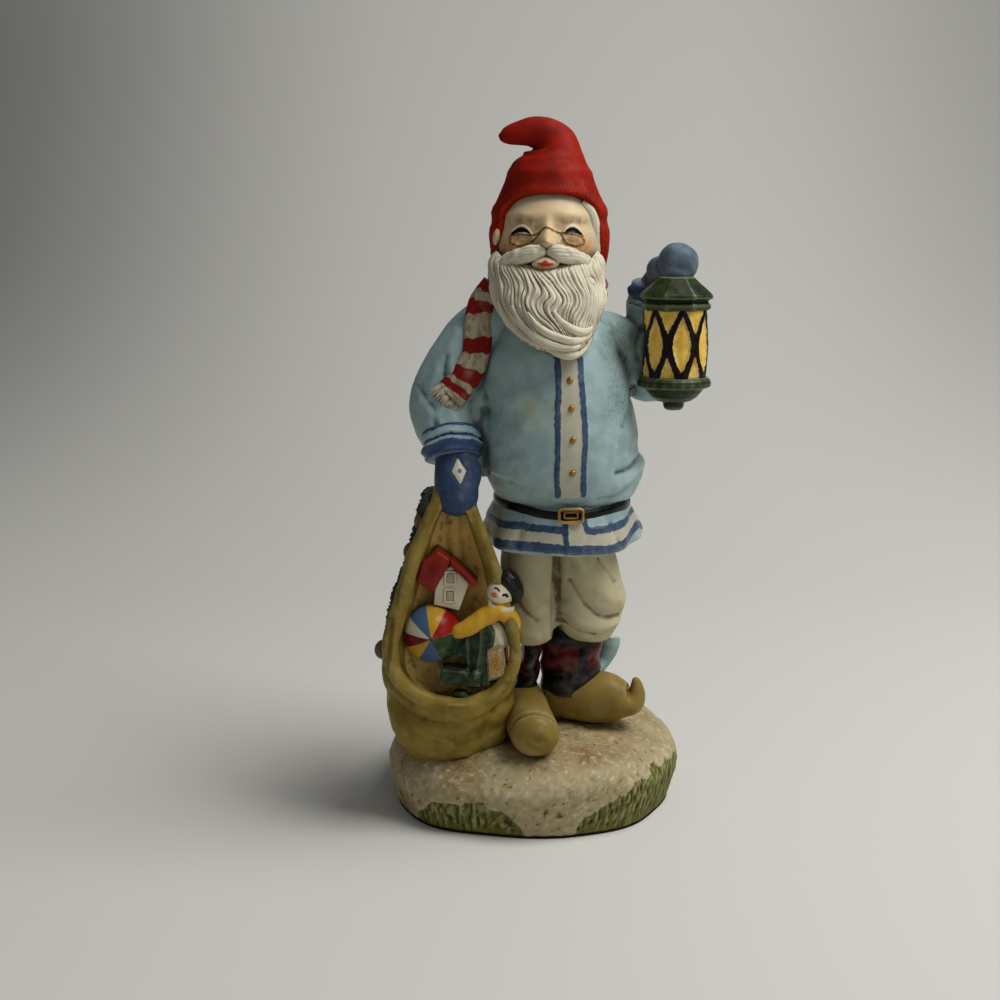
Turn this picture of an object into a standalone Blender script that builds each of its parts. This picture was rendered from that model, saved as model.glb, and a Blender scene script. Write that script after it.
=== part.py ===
"""Gnome figurine: a painted resin casting of a bearded gnome on a snowy mound, with lantern and sack of toys.

Every form is modelled as its own closed mesh, and the forms are then cast into one solid: joined, fused by
a voxel remesh, smoothed and reduced. Metres, +Z up. The origin is the middle of the base's flat underside,
the gnome faces -Y, and +X is at the viewer's right. Sizes are full widths, depths and heights unless a name
says radius. A form's table of rows shapes it by shares of those sizes, and by offsets in millimetres.
"""

import math

import bmesh
import bpy
import numpy as np
from mathutils import Matrix, Vector
from mathutils.bvhtree import BVHTree

MM = 0.001

# Casting
VOXEL = 0.0006
SMOOTHING_STEPS = 2
TRIANGLES = 11600
SUNK = 0.002  # how far the base reaches below z = 0 before its underside is cut flat

# Base
BASE_WIDTH = 0.083
BASE_DEPTH = 0.080
SNOW_HEIGHT = 0.0225

# Legs
SHOE_LENGTH = 0.029
SHOE_WIDTH = 0.0145
SHOE_HEIGHT = 0.0155
TOE_TIP_HEIGHT = 0.0073
STOCKING_WIDTH = 0.0172
STOCKING_HEIGHT = 0.0140
TROUSER_WIDTH = 0.0220
TROUSER_HEIGHT = 0.0280

# Coat
BODY_X = 0.0068
BODY_Y = -0.0085
SKIRT_WIDTH = 0.0440
SKIRT_DEPTH = 0.0480
SKIRT_HEIGHT = 0.0115
BELLY_WIDTH = 0.0436
BELLY_DEPTH = 0.0480
BODY_HEIGHT = 0.0525
BELT_HEIGHT = 0.0027
BELT_PROUD = 0.0008
BUCKLE_WIDTH = 0.0070
BUCKLE_HEIGHT = 0.0043
PLACKET_WIDTH = 0.0072
PLACKET_PROUD = 0.0007
BUTTON_RADIUS = 0.0009
BUTTON_PITCH = 0.0078

# Arms
SLEEVE_WIDTH = 0.0200
CUFF_RADIUS = 0.0063
CUFF_ROLL = 0.0018
MITTEN_WIDTH = 0.0122
MITTEN_LENGTH = 0.0165
FIST_RADIUS = 0.0054

# Scarf
SCARF_WIDTH = 0.0076
SCARF_THICKNESS = 0.0022

# Head
HEAD_X = 0.0042
HEAD_Y = -0.0055
EYE_RISE = 0.0200  # eye line above the neck
HEAD_WIDTH = 0.0286
HEAD_HEIGHT = 0.0340
BEARD_WIDTH = 0.0306
BEARD_DEPTH = 0.0290
BEARD_LENGTH = 0.0271
BEARD_GROOVE = 0.0006
HAT_WIDTH = 0.0328
HAT_HEIGHT = 0.0198  # from the brim over the forehead to the top
BROW_HEIGHT = 0.0092  # from the eye line to the brim
LENS_RADIUS = 0.0032
SPECTACLE_WIRE = 0.0006

# Lantern
LANTERN_RADIUS = 0.0084
LANTERN_HEIGHT = 0.0345
EAVE_RADIUS = 0.0101
BAR_RADIUS = 0.0006

# Sack
SACK_WIDTH = 0.0380
SACK_DEPTH = 0.0340
MOUTH_WIDTH = 0.0340
RIM_RADIUS = 0.0019
TOY_BALL_RADIUS = 0.0078
HOUSE_WIDTH = 0.0092
HOUSE_HEIGHT = 0.0130
DOLL_HEAD_RADIUS = 0.0038
BOX_WIDTH = 0.0056
BOX_HEIGHT = 0.0095
BOUGH_RADIUS = 0.0030
BOUGH_BACK = 0.0075  # how far behind the sack's middle the bough hangs near its foot
CONE_RADIUS = 0.0026

# Heights, from the snow up
SOLE_Z = SNOW_HEIGHT - 0.0025
ANKLE_Z = SOLE_Z + SHOE_HEIGHT
KNEE_Z = ANKLE_Z + STOCKING_HEIGHT
HEM_Z = KNEE_Z + TROUSER_HEIGHT
BELT_Z = HEM_Z + SKIRT_HEIGHT
NECK_Z = BELT_Z + BODY_HEIGHT
EYE_Z = NECK_Z + EYE_RISE
BRIM_Z = EYE_Z + BROW_HEIGHT

# Paints: colour, roughness, metallic
PAINTS = {
    "snow": ((0.62, 0.58, 0.50), 0.75, 0.0),
    "cream": ((0.62, 0.52, 0.30), 0.45, 0.0),
    "coat_blue": ((0.33, 0.47, 0.50), 0.40, 0.0),
    "trim_blue": ((0.10, 0.16, 0.29), 0.35, 0.0),
    "trousers": ((0.55, 0.50, 0.41), 0.55, 0.0),
    "dark_red": ((0.16, 0.01, 0.01), 0.30, 0.0),
    "red": ((0.42, 0.03, 0.01), 0.55, 0.0),
    "white": ((0.70, 0.66, 0.58), 0.50, 0.0),
    "skin": ((0.66, 0.54, 0.40), 0.45, 0.0),
    "black": ((0.01, 0.01, 0.01), 0.35, 0.0),
    "gold": ((0.45, 0.28, 0.08), 0.40, 0.8),
    "green": ((0.04, 0.08, 0.03), 0.35, 0.0),
    "yellow": ((0.62, 0.42, 0.08), 0.40, 0.0),
    "brown": ((0.12, 0.07, 0.03), 0.50, 0.0),
}


def clear_scene():
    for obj in list(bpy.data.objects):
        bpy.data.objects.remove(obj, do_unlink=True)


def collection(name):
    made = bpy.data.collections.new(name)
    bpy.context.scene.collection.children.link(made)
    return made


def paint(name):
    """The Principled material of that paint, made once."""
    made = bpy.data.materials.get(name)
    if made is None:
        colour, roughness, metallic = PAINTS[name]
        made = bpy.data.materials.new(name)
        made.use_nodes = True
        shader = made.node_tree.nodes["Principled BSDF"]
        shader.inputs["Base Color"].default_value = (*colour, 1)
        shader.inputs["Roughness"].default_value = roughness
        shader.inputs["Metallic"].default_value = metallic
        made.diffuse_color = (*colour, 1)
    return made


def keep(name, bm, colour):
    """The bmesh as an object of that paint, its faces pointing out."""
    bmesh.ops.recalc_face_normals(bm, faces=bm.faces)
    mesh = bpy.data.meshes.new(name)
    bm.to_mesh(mesh)
    bm.free()
    mesh.materials.append(paint(colour))
    obj = bpy.data.objects.new(name, mesh)
    forms.objects.link(obj)
    return obj


def through(rows, count):
    """Count rows at even steps along the smooth curve (Catmull-Rom) through the given rows."""
    given = np.array(rows, float)
    ends = 2 * given[[0, -1]] - given[[1, -2]]
    padded = np.vstack([ends[:1], given, ends[1:]])
    place = np.linspace(0, len(given) - 1, count)
    first = np.minimum(place.astype(int), len(given) - 2)
    part = (place - first)[:, None]
    a, b, c, d = (padded[first + k] for k in range(4))
    return b + 0.5 * part * (c - a + part * (2 * a - 5 * b + 4 * c - d + part * (3 * (b - c) + d - a)))


def loft(name, colour, rings, side=(1, 0, 0), square=2.0, relief=None, around=32, along=36):
    """A closed solid through rings of (x, y, z, half width along side, half depth across it).

    square is the section's superellipse power, 2 for an ellipse. relief(angle, share) lifts the surface,
    where angle is 0 at side and pi / 2 at the front, and share runs from 0 at the first ring to 1 at the last
    one.
    """
    rows = through(rings, along)
    centres = rows[:, :3]
    halves = np.maximum(rows[:, 3:5], 0.0001)
    run = np.gradient(centres, axis=0)
    run /= np.linalg.norm(run, axis=1)[:, None]
    across = np.array(side, float) - (run @ np.array(side, float))[:, None] * run
    across /= np.linalg.norm(across, axis=1)[:, None]
    front = np.cross(across, run)
    bm = bmesh.new()
    loops = []
    for i in range(along):
        loop = []
        for k in range(around):
            angle = math.tau * k / around
            c, s = math.cos(angle), math.sin(angle)
            x = math.copysign(abs(c) ** (2 / square), c) * halves[i, 0]
            y = math.copysign(abs(s) ** (2 / square), s) * halves[i, 1]
            out = x * across[i] + y * front[i]
            if relief:
                out = out + out / np.linalg.norm(out) * relief(angle, i / (along - 1))
            loop.append(bm.verts.new(centres[i] + out))
        loops.append(loop)
    for low, high in zip(loops, loops[1:]):
        for k in range(around):
            bm.faces.new((low[k], low[k - 1], high[k - 1], high[k]))
    bm.faces.new(loops[0])
    bm.faces.new(loops[-1])
    return keep(name, bm, colour)


def ball(name, colour, centre, radii, turn=(0, 0, 0)):
    """An ellipsoid, turned about X, Y and Z in degrees."""
    bm = bmesh.new()
    bmesh.ops.create_uvsphere(bm, u_segments=24, v_segments=16, radius=1)
    place = Matrix.Translation(centre) @ turned_by(turn) @ Matrix.Diagonal((*radii, 1))
    bmesh.ops.transform(bm, matrix=place, verts=bm.verts)
    return keep(name, bm, colour)


def turned_by(turn):
    x, y, z = (Matrix.Rotation(math.radians(a), 4, axis) for a, axis in zip(turn, "XYZ"))
    return z @ y @ x


def block(name, colour, centre, size, turn=(0, 0, 0), rounding=0.0004):
    """A box with rounded edges, turned about X, Y and Z in degrees."""
    bm = bmesh.new()
    bmesh.ops.create_cube(bm, size=1)
    bmesh.ops.transform(bm, matrix=Matrix.Diagonal((*size, 1)), verts=bm.verts)
    bmesh.ops.bevel(bm, geom=bm.edges[:], offset=rounding, segments=2, profile=0.5, affect="EDGES")
    bmesh.ops.transform(bm, matrix=Matrix.Translation(centre) @ turned_by(turn), verts=bm.verts)
    return keep(name, bm, colour)


def prism(name, colour, outline, depth, centre, turn=(0, 0, 0)):
    """An outline in X and Z, made depth thick along Y and turned about its centre."""
    bm = bmesh.new()
    face = bm.faces.new([bm.verts.new((x, -depth / 2, z)) for x, z in outline])
    swept = bmesh.ops.extrude_face_region(bm, geom=[face])["geom"]
    moved = [v for v in swept if isinstance(v, bmesh.types.BMVert)]
    bmesh.ops.translate(bm, vec=(0, depth, 0), verts=moved)
    bmesh.ops.transform(bm, matrix=Matrix.Translation(centre) @ turned_by(turn), verts=bm.verts)
    return keep(name, bm, colour)


def tube(name, colour, points, radius, closed=False):
    """A round rod along a smooth curve through the points. radius is one value, or one for each point."""
    radii = radius if hasattr(radius, "__len__") else [radius] * len(points)
    curve = bpy.data.curves.new(name, "CURVE")
    curve.dimensions = "3D"
    curve.bevel_depth = 1.0
    curve.bevel_resolution = 3
    curve.resolution_u = 6
    curve.use_fill_caps = not closed
    spline = curve.splines.new("BEZIER")
    spline.bezier_points.add(len(points) - 1)
    spline.use_cyclic_u = closed
    for knot, point, size in zip(spline.bezier_points, points, radii):
        knot.co = point
        knot.radius = size
        knot.handle_left_type = knot.handle_right_type = "AUTO"
    guide = bpy.data.objects.new(name + "_guide", curve)
    forms.objects.link(guide)
    bm = bmesh.new()
    bm.from_mesh(evaluated_mesh(guide))
    bpy.data.objects.remove(guide, do_unlink=True)
    bmesh.ops.remove_doubles(bm, verts=bm.verts, dist=1e-6)
    return keep(name, bm, colour)


def turned(name, colour, profile, centre, steps=32):
    """A solid of revolution about Z. profile is (radius, height above centre), from top to bottom."""
    bm = bmesh.new()
    verts = [bm.verts.new((r, 0, z)) for r, z in profile]
    for upper, lower in zip(verts, verts[1:]):
        bm.edges.new((upper, lower))
    obj = keep(name, bm, colour)
    obj.location = centre
    screw = obj.modifiers.new("turn", "SCREW")
    screw.steps = screw.render_steps = steps
    screw.use_merge_vertices = True
    screw.merge_threshold = 0.00001
    return obj


def evaluated_mesh(obj):
    bpy.context.view_layer.update()
    graph = bpy.context.evaluated_depsgraph_get()
    return bpy.data.meshes.new_from_object(obj.evaluated_get(graph), depsgraph=graph)


def cut(obj, cutter):
    """Takes the cutter's shape out of obj."""
    forms.objects.unlink(cutter)
    cutters.objects.link(cutter)
    cutter.hide_render = True
    cutter.display_type = "WIRE"
    boolean = obj.modifiers.new("cut", "BOOLEAN")
    boolean.operation = "DIFFERENCE"
    boolean.object = cutter
    boolean.solver = "EXACT"


def surface_of(*objs):
    """A tree of the objects' evaluated surfaces, for laying trim on them."""
    bm = bmesh.new()
    for obj in objs:
        mesh = evaluated_mesh(obj)
        mesh.transform(obj.matrix_world)
        bm.from_mesh(mesh)
    tree = BVHTree.FromBMesh(bm)
    bm.free()
    return tree


def on_front(tree, x, z, lift=0.0, missed=0.0):
    """The point of the surface that a viewer at -Y sees at x and z, brought forward by lift."""
    hit = tree.ray_cast(Vector((x, -1, z)), Vector((0, 1, 0)))[0]
    y = hit.y if hit else missed
    return Vector((x, y - lift, z))


def wave(angle, *terms):
    """A sum of (turns round, size, phase) sine waves."""
    return sum(size * math.sin(turns * angle + phase) for turns, size, phase in terms)


def bell(value, middle, width):
    """A smooth bump of height 1."""
    return math.exp(-((value - middle) / width) ** 2)


# Base


def make_base():
    def drifts(angle, share):
        edge = wave(angle, (3, 0.0007, 0.4), (5, 0.0005, 1.9), (9, 0.0003, 0.2))
        snow = wave(angle + 3 * share, (4, 0.0006, 2.2), (7, 0.0004, 1.0)) * share
        return (edge + snow) * min(1, 4 * (1 - share))

    wall = ((-SUNK, 0.92), (0.0, 0.94), (0.12 * SNOW_HEIGHT, 0.96), (0.35 * SNOW_HEIGHT, 0.99))
    top = ((0.55, 1.0), (0.70, 0.97), (0.82, 0.89), (0.91, 0.76), (0.96, 0.58), (0.99, 0.35), (1.0, 0.02))
    levels = wall + tuple((share * SNOW_HEIGHT, size) for share, size in top)
    rings = [(0, 0, z, size * BASE_WIDTH / 2, size * BASE_DEPTH / 2) for z, size in levels]
    loft("snowy_mound", "snow", rings, square=2.2, relief=drifts, around=64, along=40)


# Legs

LEFT_LEG = Vector((BODY_X - 0.0066, BODY_Y - 0.0025, 0))  # at the viewer's left, its shoe towards the viewer
RIGHT_LEG = Vector((BODY_X + 0.0060, BODY_Y + 0.0020, 0))  # at the viewer's right, its shoe towards +X


def make_shoes():
    middle = SOLE_Z + SHOE_HEIGHT / 2
    half_width, half_height = SHOE_WIDTH / 2, SHOE_HEIGHT / 2
    forward = ((0.17, -2.2, 1.75, 0.50, 0.58), (0.086, -2.2, 1.25, 0.77, 0.85))
    forward += ((-0.14, -2.0, 0.65, 0.90, 0.95), (-0.33, -1.4, 0.15, 0.91, 0.90))
    forward += ((-0.52, -0.3, -0.45, 0.92, 0.85), (-0.69, 0.5, -0.85, 0.88, 0.79))
    forward += ((-0.78, 0.7, -1.15, 0.63, 0.57), (-0.815, 0.7, -1.35, 0.10, 0.10))
    rings = [
        (LEFT_LEG.x + shift * MM, LEFT_LEG.y + run * SHOE_LENGTH, middle + rise * MM,
         wide * half_width, high * half_height)
        for run, shift, rise, wide, high in forward
    ]
    loft("left_shoe", "cream", rings)
    sideways = ((-0.324, 3.25, 0.39, 0.54), (-0.27, 3.05, 0.76, 0.85), (-0.06, 2.65, 0.94, 0.97))
    sideways += ((0.145, 2.15, 0.97, 0.99), (0.32, 2.15, 0.91, 0.92), (0.46, 1.85, 0.83, 0.67))
    sideways += ((0.55, 1.15, 0.66, 0.57),)
    rings = [
        (RIGHT_LEG.x + run * SHOE_LENGTH, RIGHT_LEG.y - 0.2 * run * SHOE_LENGTH, middle + rise * MM,
         wide * half_width, high * half_height)
        for run, rise, wide, high in sideways
    ]
    x, y, z = rings[-1][:3]
    curl = ((1.4, 0.27, 3.0, 2.6), (1.3, 0.60, 2.2, 1.9), (0.8, 0.85, 1.5, 1.3), (0.4, 1.0, 0.5, 0.5))
    rings += [
        (x + shift * MM, y - 0.3 * MM, z + share * TOE_TIP_HEIGHT, wide * MM, deep * MM)
        for shift, share, wide, deep in curl
    ]
    loft("right_shoe", "cream", rings, side=(0, 1, 0))


def make_stockings():
    half = STOCKING_WIDTH / 2
    left = ((-4.0, -2.3, 0.43), (1.5, -1.8, 0.40), (7.5, -0.7, 0.34), (12.0, -0.1, 0.31), (18.0, 0.0, 0.31))
    right = ((-4.0, -1.8, 0.93), (0.0, -1.8, 0.98), (6.5, -1.6, 1.0), (12.5, -1.5, 0.99))
    right += ((18.0, -1.2, 0.93),)
    for name, leg, deep, levels in (
        ("left_stocking", LEFT_LEG, 0.65, left),
        ("right_stocking", RIGHT_LEG, 0.77, right),
    ):
        rings = [
            (leg.x + shift * MM, leg.y, ANKLE_Z + height * MM, wide * half, deep * half)
            for height, shift, wide in levels
        ]
        loft(name, "dark_red", rings, around=24, along=8)


def make_trousers():
    half = TROUSER_WIDTH / 2
    left = ((30.5, -0.8, 0.69, 0.95), (23.5, -1.0, 0.71, 0.98), (16.5, -0.8, 0.73, 1.02))
    left += ((9.5, -0.5, 0.75, 1.04), (5.0, -0.2, 0.71, 0.98), (1.5, -0.1, 0.60, 0.84))
    left += ((-0.9, -0.1, 0.44, 0.62), (-1.7, -0.1, 0.27, 0.41))
    right = ((30.5, 0.6, 0.82, 1.14), (23.5, 0.9, 0.83, 1.14), (16.5, 1.8, 0.93, 1.16))
    right += ((10.5, 2.4, 1.0, 1.18), (6.0, 2.1, 0.96, 1.15), (2.5, 1.4, 0.85, 1.02))
    right += ((0.3, 0.6, 0.65, 0.82), (-0.9, 0.2, 0.41, 0.55))
    for name, leg, levels in (("left_leg", LEFT_LEG, left), ("right_leg", RIGHT_LEG, right)):
        rings = [
            (leg.x + shift * MM, leg.y - 1.0 * MM, KNEE_Z + height * MM, wide * half, deep * half)
            for height, shift, wide, deep in levels
        ]
        loft(name, "trousers", rings)


# Coat


def make_coat():
    """The skirt, body and placket, and what is laid on them. Returns the body's surface."""
    skirt = ((1.25, 0.76), (1.0, 0.80), (0.65, 0.90), (0.3, 0.97), (0.04, 1.0), (-0.06, 0.96))

    def flare(angle, share):
        return wave(angle, (5, 0.0007, 0.6), (8, 0.0004, 2.0)) * min(1, 1.5 * share)

    half_width, half_depth = SKIRT_WIDTH / 2, SKIRT_DEPTH / 2
    rings = [
        (BODY_X + 0.0012, BODY_Y, HEM_Z + level * SKIRT_HEIGHT, size * half_width, size * half_depth)
        for level, size in skirt
    ]
    skirt_form = loft("coat_skirt", "coat_blue", rings, relief=flare, around=48, along=24)
    half_width, half_depth = BELLY_WIDTH / 2, BELLY_DEPTH / 2
    levels = ((-0.06, 0.73, 0.0), (0.0, 0.785, 0.0), (0.05, 0.90, 0.2), (0.125, 0.99, 0.8))
    levels += ((0.21, 1.005, 0.8), (0.32, 1.0, 0.2), (0.50, 0.958, -0.7), (0.66, 0.895, -1.7))
    levels += ((0.80, 0.782, -2.6), (0.91, 0.585, -3.6), (1.0, 0.43, -4.0), (1.10, 0.33, -4.0))

    def bulge(angle, share):
        side = max(0.0, math.cos(angle)) ** 3
        return side * (0.0012 * bell(share, 0.30, 0.07) - 0.0007 * bell(share, 0.42, 0.032))

    rings = [
        (BODY_X + shift * MM, BODY_Y, BELT_Z + level * BODY_HEIGHT, size * half_width, size * half_depth)
        for level, size, shift in levels
    ]
    body = loft("coat_body", "coat_blue", rings, relief=bulge, around=64, along=56)
    tree = surface_of(body, skirt_form)
    front_x = BODY_X + 0.0024
    strip = [
        (*on_front(tree, front_x - 0.0008 * share, BELT_Z + (0.06 + 0.68 * share) * BODY_HEIGHT),
         PLACKET_WIDTH / 2, PLACKET_PROUD)
        for share in np.linspace(0, 1, 7)
    ]
    loft("placket", "white", strip, square=5, around=24, along=24)
    for number in range(4):
        z = BELT_Z + 0.19 * BODY_HEIGHT + number * BUTTON_PITCH
        place = on_front(tree, front_x - 0.0001 * number, z, lift=0.0008)
        button = (BUTTON_RADIUS, BUTTON_RADIUS * 0.7, BUTTON_RADIUS * 1.15)
        ball(f"button_{number + 1}", "gold", place, button)
    waist_width, waist_depth = 0.81 * half_width, 0.81 * half_depth
    belt = [
        (BODY_X, BODY_Y, BELT_Z + level * BELT_HEIGHT, waist_width + proud, waist_depth + proud)
        for level, proud in ((-0.5, -0.003), (-0.5, BELT_PROUD), (0.5, BELT_PROUD), (0.5, -0.003))
    ]
    loft("belt", "black", belt, around=48, along=16)
    face = BODY_Y - waist_depth - BELT_PROUD
    block("buckle", "gold", (front_x, face - 0.0002, BELT_Z), (BUCKLE_WIDTH, 0.0018, BUCKLE_HEIGHT))
    flap = [(*on_front(tree, front_x + 0.0005, z, lift=0.0), 0.0042, 0.0009)
            for z in np.linspace(HEM_Z, BELT_Z - 0.002, 4)]
    loft("skirt_flap", "white", flap, square=4, around=24, along=12)
    return tree


# Arms

RIGHT_WRIST = Vector((BODY_X - BELLY_WIDTH / 2 - 0.0070, BODY_Y - 0.0100, BELT_Z + 0.0160))
RIGHT_HAND = RIGHT_WRIST + Vector((0.0014, -0.0050, -0.0100))
LEFT_WRIST = Vector((BODY_X + BELLY_WIDTH / 2 + 0.0020, BODY_Y + 0.0080, NECK_Z - 0.0010))
LEFT_HAND = LEFT_WRIST + Vector((0.0077, -0.0120, 0.0119))


def make_arms():
    """The sleeves and cuffs. A sleeve's rows are offsets from its wrist and shares of its width."""
    half = SLEEVE_WIDTH / 2
    bends = ((24.0, 10.5, 37.5, 0.55), (15.5, 10.9, 32.3, 0.83), (7.4, 10.9, 25.8, 0.96))
    bends += ((1.7, 10.3, 17.5, 0.98), (-1.7, 8.5, 10.0, 0.98), (-1.7, 5.1, 4.8, 0.89))
    bends += ((-0.4, 1.1, 1.1, 0.735), (0.0, -0.7, -1.5, 0.64))
    right = loft("right_sleeve", "coat_blue", sleeve_rings(RIGHT_WRIST, bends, half))
    bends = ((-20.6, -5.5, -7.5, 0.50), (-12.6, -4.3, -9.0, 0.82), (-5.6, -2.7, -13.1, 0.87))
    bends += ((0.4, -1.3, -17.9, 0.81), (4.0, -0.3, -20.9, 0.66), (6.0, 0.1, -22.3, 0.37))
    loft("left_upper_sleeve", "coat_blue", sleeve_rings(LEFT_WRIST, bends, half), side=(0, 1, 0))
    bends = ((4.6, 0.0, -26.0, 0.40), (4.3, 0.0, -23.1, 0.66), (3.2, 0.0, -16.5, 0.68))
    bends += ((1.6, 0.0, -8.5, 0.61), (0.2, 0.0, -0.5, 0.52), (-0.2, 0.0, 2.5, 0.48))
    loft("left_forearm", "coat_blue", sleeve_rings(LEFT_WRIST, bends, half))
    raised = LEFT_WRIST + Vector((0.0010, -0.0010, 0.0010))
    for name, wrist, hand, radius in (
        ("right", RIGHT_WRIST, RIGHT_HAND, CUFF_RADIUS),
        ("left", raised, raised + Vector((0.0006, -0.0022, 0.0060)), 0.64 * CUFF_RADIUS),
    ):
        along = (hand - wrist).normalized()
        tilt = along.to_track_quat("Z", "Y").to_matrix()
        for number, shift in enumerate((0.0, 1.5 * CUFF_ROLL)):
            ring = [
                wrist + along * shift + tilt @ Vector((radius * math.cos(a), radius * math.sin(a), 0))
                for a in np.linspace(0, math.tau, 12, endpoint=False)
            ]
            colour = "trim_blue" if number else "coat_blue"
            tube(f"{name}_cuff_{number + 1}", colour, ring, CUFF_ROLL, closed=True)
    return right


def sleeve_rings(wrist, bends, half):
    return [
        (wrist.x + x * MM, wrist.y + y * MM, wrist.z + z * MM, size * half, size * half)
        for x, y, z, size in bends
    ]


def make_mittens():
    half = MITTEN_WIDTH / 2
    levels = ((0.55, 0.75), (0.35, 0.92), (0.05, 0.98), (-0.22, 0.95), (-0.38, 0.80), (-0.47, 0.50))
    levels += ((-0.50, 0.15),)
    rings = [
        (RIGHT_HAND.x, RIGHT_HAND.y + 0.006 * level, RIGHT_HAND.z + level * MITTEN_LENGTH,
         size * half, 0.9 * size * half)
        for level, size in levels
    ]
    loft("right_mitten", "trim_blue", rings)
    thumb = RIGHT_HAND + Vector((0.84 * half, 0.0010, 0.0020))
    ball("right_thumb", "trim_blue", thumb, (0.0018, 0.0026, 0.0042))
    reach = ((0.0, 0.62), (0.35, 0.60), (0.62, 0.56), (0.85, 0.60), (1.0, 0.5))
    rings = []
    for share, size in reach:
        place = LEFT_WRIST.lerp(LEFT_HAND, share)
        rise = 0.0035 * math.sin(math.pi * share)
        rings.append((place.x + 0.6 * rise, place.y + rise, place.z + rise, size * half, size * half))
    loft("left_mitten", "trim_blue", rings, side=(1, 1, 0))
    ball("left_fist", "trim_blue", LEFT_HAND, (FIST_RADIUS, FIST_RADIUS, FIST_RADIUS))
    thumb = LEFT_HAND + Vector((-0.0045, 0.0050, -0.0020))
    ball("left_thumb", "trim_blue", thumb, (0.0033, 0.0034, 0.0037))


# Scarf


def make_scarf(tree):
    half = SCARF_WIDTH / 2
    neck = Vector((HEAD_X - 0.0004, HEAD_Y - 0.0010, NECK_Z + 0.0040))
    levels = ((-1.1, 0.80), (-0.9, 0.98), (0.0, 1.06), (0.9, 0.96), (1.1, 0.78))
    rings = [(neck.x, neck.y, neck.z + level * half, size * 0.0155, size * 0.0150) for level, size in levels]
    loft("scarf_wrap", "red", rings, around=40, along=14)
    path = ((-14.4, 1.4, 0.80), (-17.8, -4.2, 0.93), (-18.6, -11.0, 1.0), (-19.4, -17.4, 0.98))
    path += ((-22.2, -23.2, 1.05), (-25.8, -27.4, 1.12), (-26.8, -29.6, 1.0))
    rings = [
        (*on_front(tree, neck.x + x * MM, neck.z + z * MM, lift=0.0002, missed=neck.y - 0.0080),
         wide * half, SCARF_THICKNESS / 2)
        for x, z, wide in path
    ]
    loft("scarf_tail", "red", rings, square=3.5, around=24, along=32)


# Head


def make_head():
    half_width, half_height = HEAD_WIDTH / 2, HEAD_HEIGHT / 2
    ball("head", "skin", (HEAD_X, HEAD_Y, EYE_Z - 0.0030), (half_width, half_width, half_height))
    face = HEAD_Y - half_width
    for name, side in (("left", -1), ("right", 1)):
        brow = (HEAD_X - 0.0006 + side * 0.0078, face + 0.0020, EYE_Z + 0.0035)
        ball(f"{name}_brow", "white", brow, (0.0042, 0.0018, 0.0013), turn=(0, side * 14, side * 25))
        eye = (HEAD_X - 0.0010 + side * 0.0067, face + 0.0024, EYE_Z + 0.0006)
        ball(f"{name}_eye", "white", eye, (0.0032, 0.0018, 0.0018))
        cheek = (HEAD_X - 0.0006 + side * 0.0088, face + 0.0036, EYE_Z - 0.0045)
        ball(f"{name}_cheek", "skin", cheek, (0.0040, 0.0036, 0.0034))
        root = Vector((HEAD_X - 0.0012 + side * 0.0010, face - 0.0048, EYE_Z - 0.0052))
        rings = [
            (root.x, root.y + 0.0010, root.z, 0.0014, 0.0016),
            (root.x + side * 0.0025, root.y, root.z - 0.0002, 0.0024, 0.0023),
            (root.x + side * 0.0060, root.y + 0.0022, root.z - 0.0012, 0.0025, 0.0025),
            (root.x + side * 0.0100, root.y + 0.0058, root.z - 0.0026, 0.0018, 0.0019),
            (root.x + side * 0.0125, root.y + 0.0085, root.z - 0.0042, 0.0006, 0.0006),
        ]
        loft(f"{name}_moustache", "white", rings, side=(0, 0, 1), around=20, along=20)
    ball("nose", "skin", (HEAD_X - 0.0012, face - 0.0040, EYE_Z - 0.0020), (0.0022, 0.0028, 0.0019))
    ball("nose_bridge", "skin", (HEAD_X - 0.0012, face - 0.0005, EYE_Z - 0.0002), (0.0019, 0.0030, 0.0030))
    ball("lip", "red", (HEAD_X - 0.0014, face - 0.0052, EYE_Z - 0.0082), (0.0020, 0.0010, 0.0008))
    names = ("head", "eye", "cheek", "nose", "moustache")
    tree = surface_of(*(obj for obj in forms.objects if obj.name.endswith(names)))
    for name, side in (("left", -1), ("right", 1)):
        lens = [
            on_front(tree, HEAD_X - 0.0010 + side * 0.0062 + LENS_RADIUS * math.cos(a),
                     EYE_Z - 0.0024 + 0.6 * LENS_RADIUS * math.sin(a), missed=HEAD_Y)
            for a in np.linspace(0, math.tau, 10, endpoint=False)
        ]
        tube(f"{name}_lens", "gold", lens, SPECTACLE_WIRE, closed=True)


def make_beard():
    levels = ((0.0, 0.02, 0.04, 5.2, 23.5), (0.015, 0.12, 0.37, 5.0, 21.5))
    levels += ((0.048, 0.235, 0.61, 4.4, 18.7), (0.107, 0.43, 0.81, 3.4, 16.0))
    levels += ((0.207, 0.62, 0.98, 2.0, 13.5), (0.354, 0.80, 1.05, 1.0, 11.5))
    levels += ((0.539, 0.965, 1.06, 0.3, 9.7), (0.723, 1.005, 0.99, 0.0, 8.3))
    levels += ((0.889, 0.99, 0.87, -0.3, 7.3), (1.0, 0.89, 0.73, -0.2, 6.5))
    low = EYE_Z - 0.0065 - BEARD_LENGTH

    def locks(angle, share):
        turn = angle - math.pi / 2
        phase = 10 * turn + 1.4 * math.sin(7 * share + 2 * turn) + 2.6 * share * turn
        rise = abs(math.sin(phase)) ** 0.7 - 0.6
        return 2 * BEARD_GROOVE * rise * min(1, 6 * (1 - share)) * min(1, 8 * share)

    rings = [
        (HEAD_X - 0.0006 + shift * MM, HEAD_Y - forward * MM, low + share * BEARD_LENGTH,
         wide * BEARD_WIDTH / 2, deep * BEARD_DEPTH / 2)
        for share, wide, deep, shift, forward in levels
    ]
    loft("beard", "white", rings, relief=locks, around=120, along=40)


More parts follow.
